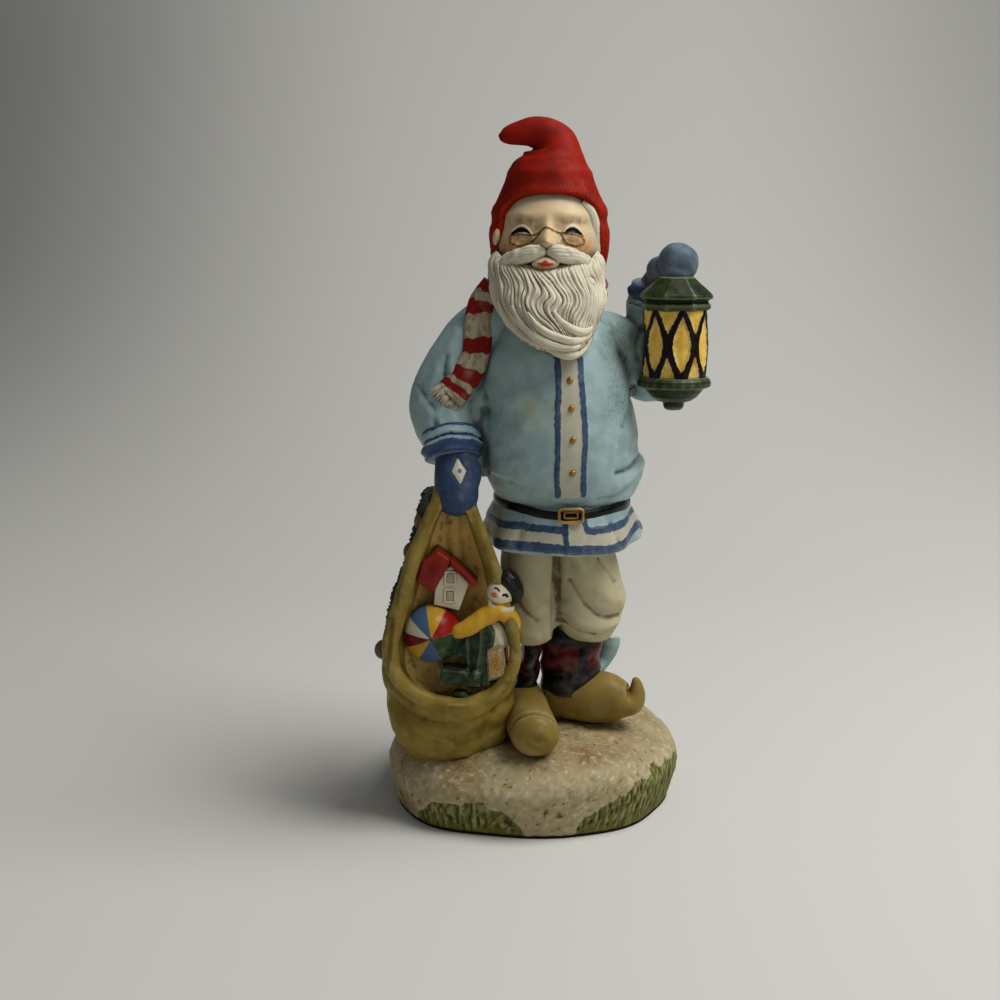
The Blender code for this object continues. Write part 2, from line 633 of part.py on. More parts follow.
def make_hat():
    top = BRIM_Z + HAT_HEIGHT
    half = HAT_WIDTH / 2
    rise = ((-1.12, 0.0, 0.87), (-0.78, 0.0, 0.98), (-0.50, 0.0, 1.0), (-0.17, 0.0, 0.905))
    rise += ((0.12, 0.0003, 0.76), (0.40, 0.0004, 0.575), (0.64, 0.0007, 0.42))
    rings = [
        (HEAD_X + shift, HEAD_Y + 0.0008, BRIM_Z + level * HAT_HEIGHT, size * half, size * half)
        for level, shift, size in rise
    ]
    fold = ((-2.7, 4.6, 0.27), (-7.7, 4.7, 0.205), (-11.5, 5.0, 0.150), (-13.4, 5.1, 0.06))
    rings += [
        (HEAD_X + shift * MM, HEAD_Y + 0.0008 + 0.12 * shift * MM, top - drop * MM, size * half, size * half)
        for shift, drop, size in fold
    ]

    def ribs(angle, share):
        return 0.00025 * math.sin(26 * angle + 30 * share) * min(1, 5 * share) if share < 0.6 else 0.0

    hat = loft("hat", "red", rings, side=(0, 1, 0), relief=ribs, around=72, along=56)
    arch = ((-2.0, 1.0), (-0.55, 1.0), (-0.30, 0.99), (-0.12, 0.91), (-0.03, 0.74), (0.02, 0.42))
    arch += ((0.035, 0.05),)
    reach = 0.0200
    rings = [
        (HEAD_X, HEAD_Y - 0.0035 - reach, BRIM_Z + level * HAT_HEIGHT, size * 0.0139, reach)
        for level, size in arch
    ]
    cut(hat, loft("face_opening", "red", rings, square=7, around=32, along=28))


# Lantern


def make_lantern():
    hook = LEFT_HAND + Vector((-0.0007, -0.0030, -0.0043))
    base = hook - Vector((0, 0, LANTERN_HEIGHT))
    share = LANTERN_HEIGHT
    roof = ((0.0, share), (0.43, share), (0.62, 0.965 * share), (1.0, 0.875 * share), (1.01, 0.845 * share))
    roof += ((0.84, 0.825 * share), (0.92, 0.80 * share), (0.90, 0.76 * share), (0.0, 0.76 * share))
    turned("lantern_roof", "green", [(r * EAVE_RADIUS, z) for r, z in roof], base, steps=8)
    glass_top, glass_low = 0.78 * share, 0.24 * share
    glass = ((0.0, glass_top), (1.0, glass_top), (1.02, (glass_top + glass_low) / 2), (1.0, glass_low))
    glass += ((0.0, glass_low),)
    turned("lantern_glass", "yellow", [(r * LANTERN_RADIUS, z) for r, z in glass], base)
    foot = ((0.0, 0.25), (0.88, 0.25), (1.0, 0.20), (0.99, 0.175), (0.78, 0.15), (0.62, 0.085))
    foot += ((0.30, 0.06), (0.24, 0.05), (0.24, 0.01), (0.18, 0.0), (0.0, 0.0))
    turned("lantern_foot", "green", [(r * EAVE_RADIUS, z * share) for r, z in foot], base, steps=24)
    for number in range(12):
        start = math.tau * (number // 2) / 6 - math.pi / 2 + 0.1
        lean = 0.46 if number % 2 else -0.46
        bar = []
        for part in np.linspace(-1, 1, 7):
            angle = start + lean * part * (0.6 + 0.4 * part * part)
            z = (glass_top + glass_low) / 2 + part * (glass_top - glass_low) / 2
            out = LANTERN_RADIUS * (1.02 - 0.01 * part * part)
            bar.append(base + Vector((out * math.cos(angle), out * math.sin(angle), z)))
        tube(f"lantern_bar_{number + 1}", "black", bar, BAR_RADIUS)


# Sack

SACK_X = RIGHT_HAND.x - 0.0010
SACK_Y = BODY_Y - 0.0090
SACK_TOP = RIGHT_HAND.z
SACK_LOW = SNOW_HEIGHT - 0.0060
MOUTH_LOW = SACK_LOW + 0.0200
FACE_Y = SACK_Y - SACK_DEPTH / 2  # the plane of the sack's mouth


def mouth_half(share):
    """Half of the mouth's width at a share of its height."""
    return MOUTH_WIDTH / 2 * max(0.0, 1 - share) ** 0.62 * (1 - (1 - min(1, 3.2 * share)) ** 2) ** 0.5 * 1.22


def sack_middle(level):
    """The middle of the sack's body at a share of its height: it leans forward towards the hand."""
    return Vector((SACK_X, SACK_Y - 0.0060 * level, SACK_LOW + level * (SACK_TOP - SACK_LOW)))


def make_sack():
    levels = ((1.02, 0.20, 0.22, 0.3, 0.0), (0.88, 0.38, 0.40, 0.2, -0.3), (0.72, 0.58, 0.60, 0.0, -0.6))
    levels += ((0.55, 0.82, 0.84, 0.0, -0.5), (0.40, 0.975, 0.96, -0.4, 0.0), (0.33, 0.99, 0.99, -1.1, 0.1))
    levels += ((0.26, 0.94, 0.98, -1.0, 0.3), (0.12, 0.855, 0.86, -1.3, 1.6), (0.03, 0.73, 0.67, -1.8, 2.4))
    levels += ((-0.04, 0.5, 0.45, -2.0, 2.4),)

    def sags(angle, share):
        return wave(angle, (3, 0.0004, 9 * share), (5, 0.0003, -7 * share))

    rings = [
        (*(sack_middle(level) + Vector((shift, back, 0)) * MM), wide * SACK_WIDTH / 2, deep * SACK_DEPTH / 2)
        for level, wide, deep, shift, back in levels
    ]
    sack = loft("sack", "cream", rings, relief=sags, around=64, along=48)
    high = SACK_TOP - MOUTH_LOW
    rings = [
        (SACK_X, FACE_Y - 0.006 + 0.0045 * share, MOUTH_LOW + share * high,
         max(0.0008, mouth_half(share) - 0.0012), 0.0165)
        for share in (0.03, 0.08, 0.18, 0.32, 0.48, 0.66, 0.82, 0.93)
    ]
    cut(sack, loft("sack_mouth", "cream", rings, square=2.6, around=40, along=40))
    tree = surface_of(sack)
    rim = []
    shares = [0.0, 0.04, 0.12, 0.25, 0.42, 0.60, 0.78, 0.92]
    for side, order in ((-1, shares[::-1]), (1, shares[1:])):
        for share in order:
            x = SACK_X + side * (mouth_half(share) if share else 0.0)
            rim.append(Vector((x, rim_depth(share), MOUTH_LOW + share * high)))
    tube("sack_rim", "cream", rim, RIM_RADIUS)
    for number, lean in enumerate((-0.6, -0.1, 0.4)):
        points = []
        for share in (0.95, 0.75, 0.55, 0.38):
            x = SACK_X + lean * mouth_half(share) * 0.8
            points.append(on_front(tree, x, MOUTH_LOW + share * high, missed=SACK_Y))
        tube(f"sack_fold_{number + 1}", "cream", points, (0.0012, 0.0016, 0.0014, 0.0006))
    return tree


def rim_depth(share):
    """The rim leans back from its foot towards the hand."""
    return FACE_Y + 0.0020 + 0.0070 * share


def make_toys():
    high = SACK_TOP - MOUTH_LOW

    def spot(across, share, forward=0.0):
        """A point in the mouth: across as a share of its half width, and up as a share of its height."""
        x = SACK_X + across * MOUTH_WIDTH / 2
        return Vector((x, rim_depth(share) + 0.0035 - forward, MOUTH_LOW + share * high))

    ball("toy_ball", "red", spot(-0.36, 0.33), (TOY_BALL_RADIUS,) * 3)
    half = HOUSE_WIDTH / 2
    walls = ((-half, -HOUSE_HEIGHT / 2), (half, -HOUSE_HEIGHT / 2), (half, 0.12 * HOUSE_HEIGHT))
    walls += ((0, HOUSE_HEIGHT / 2), (-half, 0.12 * HOUSE_HEIGHT))
    place, lean = spot(-0.12, 0.545), (0, -16, -20)
    prism("toy_house", "white", walls, 0.0100, place, lean)
    for side in (-1, 1):
        slab = ((0, HOUSE_HEIGHT / 2 + 0.0014), (side * (half + 0.0016), 0.10 * HOUSE_HEIGHT))
        slab += ((side * (half + 0.0012), 0.10 * HOUSE_HEIGHT - 0.0016), (0, HOUSE_HEIGHT / 2 - 0.0006))
        prism(f"toy_roof_{side + 2}", "red", slab, 0.0118, place, lean)
    head = spot(0.66, 0.50, 0.0015)
    ball("doll_head", "white", head, (DOLL_HEAD_RADIUS, DOLL_HEAD_RADIUS, 1.05 * DOLL_HEAD_RADIUS))
    ball("doll_hair", "black", head + Vector((0.0012, 0.0010, 0.0010)), (0.0040, 0.0040, 0.0039))
    shoulder = head + Vector((-0.0006, 0.0010, -0.0048))
    hand = spot(-0.06, 0.34, 0.0030)
    reach = ((-0.12, 1.6), (0.1, 3.1), (0.5, 3.3), (0.9, 2.6), (1.0, 1.0))
    body = [(*shoulder.lerp(hand, part), size * MM, size * MM) for part, size in reach]
    loft("doll_body", "yellow", body, side=(0, 1, 0), around=20, along=16)
    elbow = shoulder + Vector((0.0026, -0.0008, -0.0030))
    arm = [shoulder, elbow, elbow + Vector((0.0008, 0.0002, -0.0044))]
    tube("doll_arm", "yellow", arm, (0.0018, 0.0019, 0.0014))
    ball("doll_skirt", "white", spot(0.58, 0.27), (0.0044, 0.0036, 0.0060))
    block("toy_chair_seat", "green", spot(0.12, 0.125, 0.0010), (0.0110, 0.0070, 0.0046), (0, 4, 0))
    block("toy_chair_back", "green", spot(0.36, 0.25, 0.0016), (0.0036, 0.0062, 0.0150), (0, 12, 0))
    block("toy_chair_arm", "green", spot(0.12, 0.215, 0.0022), (0.0070, 0.0040, 0.0050), (0, -40, 0))
    block("toy_box", "gold", spot(0.66, 0.17, 0.0010), (BOX_WIDTH, 0.0060, BOX_HEIGHT), (0, 9, 0))
    ball("toy_bead", "green", spot(0.05, 0.0, -0.0010), (0.0022, 0.0018, 0.0014))


# What hangs behind


def make_bough(tree):
    """A sprig that lies along the sack's side, behind it, and the end of a cloth behind the ankle."""
    sprig = []
    for level in (0.97, 0.86, 0.72, 0.56, 0.40):
        middle = sack_middle(level)
        aside = middle + Vector((-1, BOUGH_BACK * (1.3 - level), 0))
        hit = tree.ray_cast(aside, Vector((1, 0, 0)))[0] or middle
        sprig.append(hit + Vector((-0.3 * BOUGH_RADIUS, 0, 0)))
    shares = (0.9, 1.1, 1.0, 0.9, 0.4)
    tube("pine_bough", "green", sprig, [share * BOUGH_RADIUS for share in shares])
    for number, (knot, low) in enumerate(((1, 0.0), (2, 0.0020), (4, -0.0020))):
        place = sprig[knot] + Vector((-0.6 * CONE_RADIUS, -0.0005, low))
        ball(f"bough_cone_{number + 1}", "brown", place, (CONE_RADIUS, CONE_RADIUS, 1.1 * CONE_RADIUS))
    root = RIGHT_LEG + Vector((0, 0, ANKLE_Z + 0.5 * STOCKING_HEIGHT))
    reach = ((0.0, 0.0, -5.5, 2.2), (5.5, 4.5, -6.5, 2.0), (8.0, 7.0, -5.0, 2.1), (9.6, 8.6, -1.6, 3.2))
    reach += ((10.2, 9.2, 1.0, 3.2), (10.4, 9.4, 2.4, 1.0))
    rings = [
        (root.x + x * MM, root.y + y * MM, root.z + z * MM, size * MM, size * MM)
        for x, y, z, size in reach
    ]
    loft("cloth_end", "coat_blue", rings, side=(1, -1, 0), around=24, along=20)


# The casting


def cast(name):
    """All the forms as one closed solid with a flat underside."""
    bm = bmesh.new()
    painted = []
    for obj in sorted(forms.objects, key=lambda form: form.name):
        mesh = evaluated_mesh(obj)
        mesh.transform(obj.matrix_world)
        bm.from_mesh(mesh)
        painted += [obj.data.materials[0].name] * len(mesh.polygons)
        bpy.data.meshes.remove(mesh)
    nearest = BVHTree.FromBMesh(bm)
    bmesh.ops.recalc_face_normals(bm, faces=bm.faces)
    clay = bpy.data.meshes.new(name)
    bm.to_mesh(clay)
    bm.free()
    casting = bpy.data.objects.new(name, clay)
    figure.objects.link(casting)
    remesh = casting.modifiers.new("fuse", "REMESH")
    remesh.mode = "VOXEL"
    remesh.voxel_size = VOXEL
    smooth = casting.modifiers.new("soften", "SMOOTH")
    smooth.factor = 0.4
    smooth.iterations = SMOOTHING_STEPS
    fused = evaluated_mesh(casting)
    fill_pockets(fused)
    casting.modifiers.clear()
    casting.data = fused
    decimate = casting.modifiers.new("reduce", "DECIMATE")
    decimate.ratio = TRIANGLES / (2 * len(fused.polygons))
    solid = evaluated_mesh(casting)
    casting.modifiers.clear()
    flatten_underside(solid)
    colours = sorted(set(painted))
    for colour in colours:
        solid.materials.append(paint(colour))
    for face in solid.polygons:
        index = nearest.find_nearest(face.center)[2]
        face.material_index = colours.index(painted[index])
    casting.data = solid
    solid.name = name
    for obj in list(forms.objects) + list(cutters.objects):
        bpy.data.objects.remove(obj, do_unlink=True)
    return casting


def fill_pockets(mesh):
    """Resin fills each sealed pocket between the forms, so the inside-out shells around them go."""
    bm = bmesh.new()
    bm.from_mesh(mesh)
    unseen = set(bm.faces)
    while unseen:
        shell = [unseen.pop()]
        for face in shell:
            near = {other for edge in face.edges for other in edge.link_faces} & unseen
            unseen -= near
            shell += near
        if sum(face.calc_center_median().dot(face.normal) * face.calc_area() for face in shell) < 0:
            bmesh.ops.delete(bm, geom=shell, context="FACES")
    bm.to_mesh(mesh)
    bm.free()


def flatten_underside(mesh):
    """Cuts the mesh at z = 0 and closes it with one flat face."""
    bm = bmesh.new()
    bm.from_mesh(mesh)
    everything = bm.verts[:] + bm.edges[:] + bm.faces[:]
    below = {"plane_co": (0, 0, 0), "plane_no": (0, 0, -1), "clear_outer": True}
    sliced = bmesh.ops.bisect_plane(bm, geom=everything, **below)
    rim = [edge for edge in sliced["geom_cut"] if isinstance(edge, bmesh.types.BMEdge)]
    bmesh.ops.contextual_create(bm, geom=rim)
    bmesh.ops.triangulate(bm, faces=bm.faces[:])
    bmesh.ops.recalc_face_normals(bm, faces=bm.faces)
    bm.to_mesh(mesh)
    bm.free()
    mesh.shade_smooth()
    mesh.set_sharp_from_angle(angle=math.radians(50))


clear_scene()
figure = collection("gnome figurine")
forms = collection("forms")
cutters = collection("cutters")
make_base()
make_shoes()
make_stockings()
make_trousers()
coat = make_coat()
sleeve = make_arms()
make_mittens()
make_scarf(surface_of(bpy.data.objects["coat_body"], sleeve))
make_head()
make_beard()
make_hat()
make_lantern()
sack = make_sack()
make_toys()
make_bough(sack)
cast("gnome_figurine")
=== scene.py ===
import itertools
import math

import bpy
import numpy as np
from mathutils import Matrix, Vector
from mathutils.bvhtree import BVHTree


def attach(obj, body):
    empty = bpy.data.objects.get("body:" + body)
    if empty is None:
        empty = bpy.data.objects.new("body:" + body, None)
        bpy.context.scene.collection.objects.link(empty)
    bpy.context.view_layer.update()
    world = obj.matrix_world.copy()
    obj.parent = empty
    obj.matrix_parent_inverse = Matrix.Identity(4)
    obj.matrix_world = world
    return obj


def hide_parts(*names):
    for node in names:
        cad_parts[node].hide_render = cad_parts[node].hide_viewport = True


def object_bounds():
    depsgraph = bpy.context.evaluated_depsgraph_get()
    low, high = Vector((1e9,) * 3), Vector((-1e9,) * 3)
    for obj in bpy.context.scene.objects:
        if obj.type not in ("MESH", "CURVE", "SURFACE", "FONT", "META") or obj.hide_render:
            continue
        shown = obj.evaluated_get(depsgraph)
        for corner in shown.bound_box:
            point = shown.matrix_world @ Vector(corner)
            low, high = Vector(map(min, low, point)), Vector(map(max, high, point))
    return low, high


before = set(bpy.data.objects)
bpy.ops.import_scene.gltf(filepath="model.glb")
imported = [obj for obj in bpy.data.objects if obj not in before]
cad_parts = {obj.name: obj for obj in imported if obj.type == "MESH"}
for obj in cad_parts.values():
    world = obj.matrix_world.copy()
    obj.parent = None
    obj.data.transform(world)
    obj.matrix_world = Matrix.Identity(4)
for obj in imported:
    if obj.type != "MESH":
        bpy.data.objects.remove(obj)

# The figurine, dressed as separate painted forms. Lengths are in millimetres of one FIGURE_HEIGHT high,
# and MM turns them into the frame's metres. The gnome faces -Y, and +X is at the viewer's right.
NODE = "gnome_figurine"
FIGURE_HEIGHT = 190.2
CAD_BOX = [list(corner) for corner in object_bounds()]
MM = (CAD_BOX[1][2] - CAD_BOX[0][2]) / FIGURE_HEIGHT

# Places that several forms share
BODY = np.array((6.8, -8.5))
HEM_Z = 77.5
HEAD = np.array((4.2, -5.5, 158.0))
FACE_X = 3.2
RIGHT_WRIST = np.array((-22.0, -18.5, 105.5))
RIGHT_HAND = np.array((-20.6, -23.5, 95.0))
LEFT_WRIST = np.array((30.6, -0.5, 140.5))
LEFT_HAND = np.array((38.3, -12.5, 152.4))
LANTERN = np.array((37.6, -15.5, 113.6))
LEFT_ANKLE = np.array((0.2, -11.0, 35.5))
RIGHT_ANKLE = np.array((12.8, -6.5, 35.5))
SACK_X, SACK_TOP, SACK_LOW = -21.6, 95.0, 16.5
MOUTH_LOW, MOUTH_Y = 36.5, -32.5
TAU = math.tau
FAR = 200  # beyond the figurine on every side, where a look at it starts
OUTSIDE = -9.0  # a stored outline's value far outside it; such outlines are in millimetres, above 0 inside


# Numbers

def through(rows, count):
    """Count rows at even steps along the smooth curve (Catmull-Rom) through the given rows."""
    given = np.array(rows, float)
    padded = np.vstack([2 * given[0] - given[1], given, 2 * given[-1] - given[-2]])
    at = np.linspace(0, len(given) - 1, count)
    first = np.minimum(at.astype(int), len(given) - 2)
    part = (at - first)[:, None]
    a, b, c, d = (padded[first + k] for k in range(4))
    return b + 0.5 * part * (c - a + part * (2 * a - 5 * b + 4 * c - d + part * (3 * (b - c) + d - a)))


def unit(vectors):
    return vectors / np.maximum(np.linalg.norm(vectors, axis=-1, keepdims=True), 1e-9)


def smooth(values, low, high):
    """0 below low, 1 above high, with a soft step between. low may be the larger one."""
    share = np.clip((values - low) / (high - low), 0, 1)
    return share * share * (3 - 2 * share)


def bell(values, middle, width):
    """1 in the middle, and soon 0 beyond width."""
    return np.exp(-((values - middle) / width) ** 2)


def noise(points, size, seed=0, octaves=1):
    """Smooth noise from -1 to 1 at the points, in lumps about size wide."""
    total, weight, whole = 0.0, 1.0, 0.0
    for octave in range(octaves):
        at = points / (size * 0.5 ** octave) + 31.7 * (seed + octave)
        cell = np.floor(at).astype(np.int64)
        part = at - cell
        part = part * part * (3 - 2 * part)
        value = 0.0
        for corner in itertools.product((0, 1), repeat=3):
            share = np.prod(np.where(corner, part, 1 - part), axis=-1)
            x, y, z = np.moveaxis(cell + np.array(corner), -1, 0)
            mixed = (x * 73856093) ^ (y * 19349663) ^ (z * 83492791) ^ ((seed + octave) * 2654435761)
            mixed = (mixed ^ (mixed >> 13)) * 1274126177
            value = value + share * (((mixed ^ (mixed >> 16)) & 0xFFFF) / 32767.5 - 1)
        total = total + weight * value
        whole += weight
        weight *= 0.5
    return total / whole


def distance(points, path):
    """How far each point is from the path's straight runs, and the share of the path at its nearest place."""
    path = np.array(path, float)
    lengths = np.linalg.norm(np.diff(path, axis=0), axis=1)
    starts = np.concatenate([[0], np.cumsum(lengths)])
    best = np.full(points.shape[:-1], np.inf)
    nearest = np.zeros(points.shape[:-1])
    for a, b, start, length in zip(path, path[1:], starts, lengths):
        share = np.clip((points - a) @ (b - a) / max(length * length, 1e-9), 0, 1)
        gap = np.linalg.norm(points - a - share[..., None] * (b - a), axis=-1)
        nearest = np.where(gap < best, (start + share * length) / starts[-1], nearest)
        best = np.minimum(gap, best)
    return best, nearest


# Meshes

def build(name, points, faces, paint=None):
    """A smooth-shaded object from points in millimetres and faces of point numbers."""
    mesh = bpy.data.meshes.new(name)
    mesh.from_pydata((np.reshape(points, (-1, 3)) * MM).tolist(), [], faces)
    mesh.shade_smooth()
    obj = bpy.data.objects.new(name, mesh)
    bpy.context.scene.collection.objects.link(obj)
    if paint:
        mesh.materials.append(paint)
    return obj


def faces_of(rows, columns, wrap=True, capped=True):
    """The quads of a grid of points, row by row, with a fan at each end that needs two more points."""
    index = np.arange(rows * columns).reshape(rows, columns)
    after = np.roll(index, -1, 1) if wrap else index[:, 1:]
    here = index if wrap else index[:, :-1]
    quads = np.stack([here[:-1], after[:-1], after[1:], here[1:]], -1).reshape(-1, 4).tolist()
    if capped:
        first, last = rows * columns, rows * columns + 1
        quads += [[first, int(b), int(a)] for a, b in zip(index[0], after[0])]
        quads += [[last, int(a), int(b)] for a, b in zip(index[-1], after[-1])]
    return quads


def ring_faces(rows, columns):
    """The quads of a grid of points that closes both ways, as a belt's does."""
    index = np.arange(rows * columns).reshape(rows, columns)
    after, up = np.roll(index, -1, 0), np.roll(index, -1, 1)
    return np.stack([index, after, np.roll(after, -1, 1), up], -1).reshape(-1, 4).tolist()


def turned_over(faces):
    return [face[::-1] for face in faces]


def capped(grid, turn_over=True):
    """The points and faces of a grid that closes round its rows, with a point in the middle of each end."""
    points = np.vstack([grid.reshape(-1, 3), grid[0].mean(0), grid[-1].mean(0)])
    faces = faces_of(*grid.shape[:2])
    return points, turned_over(faces) if turn_over else faces


class Form:
    """A closed tube of rings, which can be lifted along its own outward direction.

    rings are (x, y, z, half width along side, half depth across it), level or square to the line of their
    middles. angle is 0 at side, and share runs from 0 at the first ring to 1 at the last.
    """

    THINNEST = 0.05

    def __init__(self, rings, around, along, side=(1, 0, 0), square=2.0, level=False):
        rows = through(rings, along)
        centres, halves = rows[:, :3], np.maximum(rows[:, 3:5], self.THINNEST)
        run = np.tile((0.0, 0.0, -1.0), (along, 1)) if level else unit(np.gradient(centres, axis=0))
        side = np.array(side, float)
        across = unit(side - (run @ side)[:, None] * run)
        deep = np.cross(across, run)
        self.angle, self.share = np.meshgrid(np.arange(around) * TAU / around, np.linspace(0, 1, along))
        c, s = np.cos(self.angle), np.sin(self.angle)
        x = np.sign(c) * np.abs(c) ** (2 / square) * halves[:, :1]
        y = np.sign(s) * np.abs(s) ** (2 / square) * halves[:, 1:]
        out = x[..., None] * across[:, None] + y[..., None] * deep[:, None]
        self.grid = centres[:, None] + out
        self.out = unit(out)

    def lift(self, amount):
        self.grid = self.grid + self.out * np.broadcast_to(amount, self.share.shape)[..., None]
        return self

    def closed(self):
        return capped(self.grid)


def place(name, form, paint):
    """A closed form as an object."""
    return build(name, *form.closed(), paint)


def ball(centre, radii, around=48, along=32, turn=0.0):
    """An ellipsoid's points and faces, turned about Y by that many degrees."""
    steps = (np.arange(along) + 0.5) * math.pi / along
    lat, lon = np.meshgrid(steps, np.arange(around) * TAU / around, indexing="ij")
    points = np.stack([np.sin(lat) * np.cos(lon), -np.sin(lat) * np.sin(lon), np.cos(lat)], -1) * radii
    tilt = math.radians(turn)
    x, z = points[..., 0].copy(), points[..., 2].copy()
    points[..., 0] = x * math.cos(tilt) + z * math.sin(tilt)
    points[..., 2] = z * math.cos(tilt) - x * math.sin(tilt)
    return capped(points + np.array(centre), turn_over=False)


def joined(*parts):
    """Several (points, faces) as one."""
    points, faces, start = [], [], 0
    for more, quads in parts:
        points.append(more)
        faces += [[start + k for k in quad] for quad in quads]
        start += len(more)
    return np.vstack(points), faces


def fused(name, parts, voxel, paint, softening=4, minus=None):
    """The (points, faces) parts as one skin, by a voxel remesh that is softened, with minus cut out first."""
    obj = build(name, *joined(*parts), paint)
    if minus:
        first = obj.modifiers.new("skin", "REMESH")
        first.mode = "VOXEL"
        first.voxel_size = voxel * MM * 1.5
        cutter = build(name + "_cutter", *joined(*minus))
        cut = obj.modifiers.new("cut", "BOOLEAN")
        cut.operation = "DIFFERENCE"
        cut.object = cutter
    skin = obj.modifiers.new("fused", "REMESH")
    skin.mode = "VOXEL"
    skin.voxel_size = voxel * MM
    soften = obj.modifiers.new("soften", "SMOOTH")
    soften.factor = 0.5
    soften.iterations = softening
    bpy.context.view_layer.update()
    graph = bpy.context.evaluated_depsgraph_get()
    mesh = bpy.data.meshes.new_from_object(obj.evaluated_get(graph), depsgraph=graph)
    obj.modifiers.clear()
    obj.data = mesh
    mesh.shade_smooth()
    if minus:
        bpy.data.objects.remove(cutter)
    return obj


def mesh_of(obj):
    """An object's points in millimetres and its faces."""
    return points_of(obj), [list(face.vertices) for face in obj.data.polygons]


def points_of(obj):
    flat = np.empty(3 * len(obj.data.vertices), np.float32)
    obj.data.vertices.foreach_get("co", flat)
    return flat.reshape(-1, 3).astype(float) / MM


def normals_of(obj):
    flat = np.empty(3 * len(obj.data.vertices), np.float32)
    obj.data.vertex_normals.foreach_get("vector", flat)
    return flat.reshape(-1, 3).astype(float)


def move(obj, points):
    obj.data.vertices.foreach_set("co", (points * MM).astype(np.float32).ravel())
    obj.data.update()


def lift(obj, amount):
    """Moves each vertex along its normal."""
    move(obj, points_of(obj) + normals_of(obj) * amount[:, None])


def carve(obj, strokes, facing=0.25):
    """Presses soft strokes into the side that faces the viewer.

    A stroke is (points in x and z, width, height), with a height below 0 for a groove.
    """
    points, normals = points_of(obj), normals_of(obj)
    seen = smooth(-normals[:, 1], -facing, facing)
    total = np.zeros(len(points))
    for path, width, height in strokes:
        gap = distance(points[:, (0, 2)], through(path, 12) if len(path) > 2 else path)[0]
        total += height * np.exp(-(gap / width) ** 2) * seen
    lift(obj, total)


def store(obj, name, values, ends=()):
    """Keeps one number for each vertex, for the paint to read. ends are those of a capped grid's two ends."""
    attribute = obj.data.attributes.new(name, "FLOAT", "POINT")
    attribute.data.foreach_set("value", np.concatenate([np.ravel(values), ends]).astype(np.float32))


def store_grooves(obj, steps, full):
    """Keeps how deep each vertex lies below its surroundings: 1 at full millimetres, -1 on such a ridge."""
    points, normals = points_of(obj), normals_of(obj)
    ends = np.empty(2 * len(obj.data.edges), np.int32)
    obj.data.edges.foreach_get("vertices", ends)
    a, b = ends.reshape(-1, 2).T
    count = np.bincount(a, minlength=len(points)) + np.bincount(b, minlength=len(points))
    soft = points.copy()
    for _ in range(steps):
        for axis in range(3):
            total = np.bincount(a, soft[b, axis], len(points)) + np.bincount(b, soft[a, axis], len(points))
            soft[:, axis] = 0.5 * soft[:, axis] + 0.5 * total / np.maximum(count, 1)
    store(obj, "groove", np.clip(((soft - points) * normals).sum(1) / full, -1, 1))


def surface_of(obj):
    """A tree of the object's faces in millimetres, for laying things on it."""
    points, faces = mesh_of(obj)
    return BVHTree.FromPolygons(points.tolist(), faces)


def on_front(tree, x, z, forward=0.0, missed=-10.0):
    """The point that a viewer at -Y sees at x and z, brought forward; missed is its y if nothing is there."""
    hit = tree.ray_cast(Vector((x, -FAR, z)), Vector((0, 1, 0)))[0]
    return np.array((x, (hit.y if hit else missed) - forward, z))


def rod(path, radii, around=10, along=None, side=(0, 0, 1)):
    """A round rod's points and faces along the smooth curve through the path."""
    radii = np.broadcast_to(radii, len(path))
    rings = [(*p, r, r) for p, r in zip(path, radii)]
    return Form(rings, around, along or 6 * len(path), side=side).closed()


# Paint

def srgb(*colour):
    """A colour given as 0 to 255, as the shader wants it."""
    return tuple((c / 3294.6 if c <= 10 else ((c / 255 + 0.055) / 1.055) ** 2.4) for c in colour)


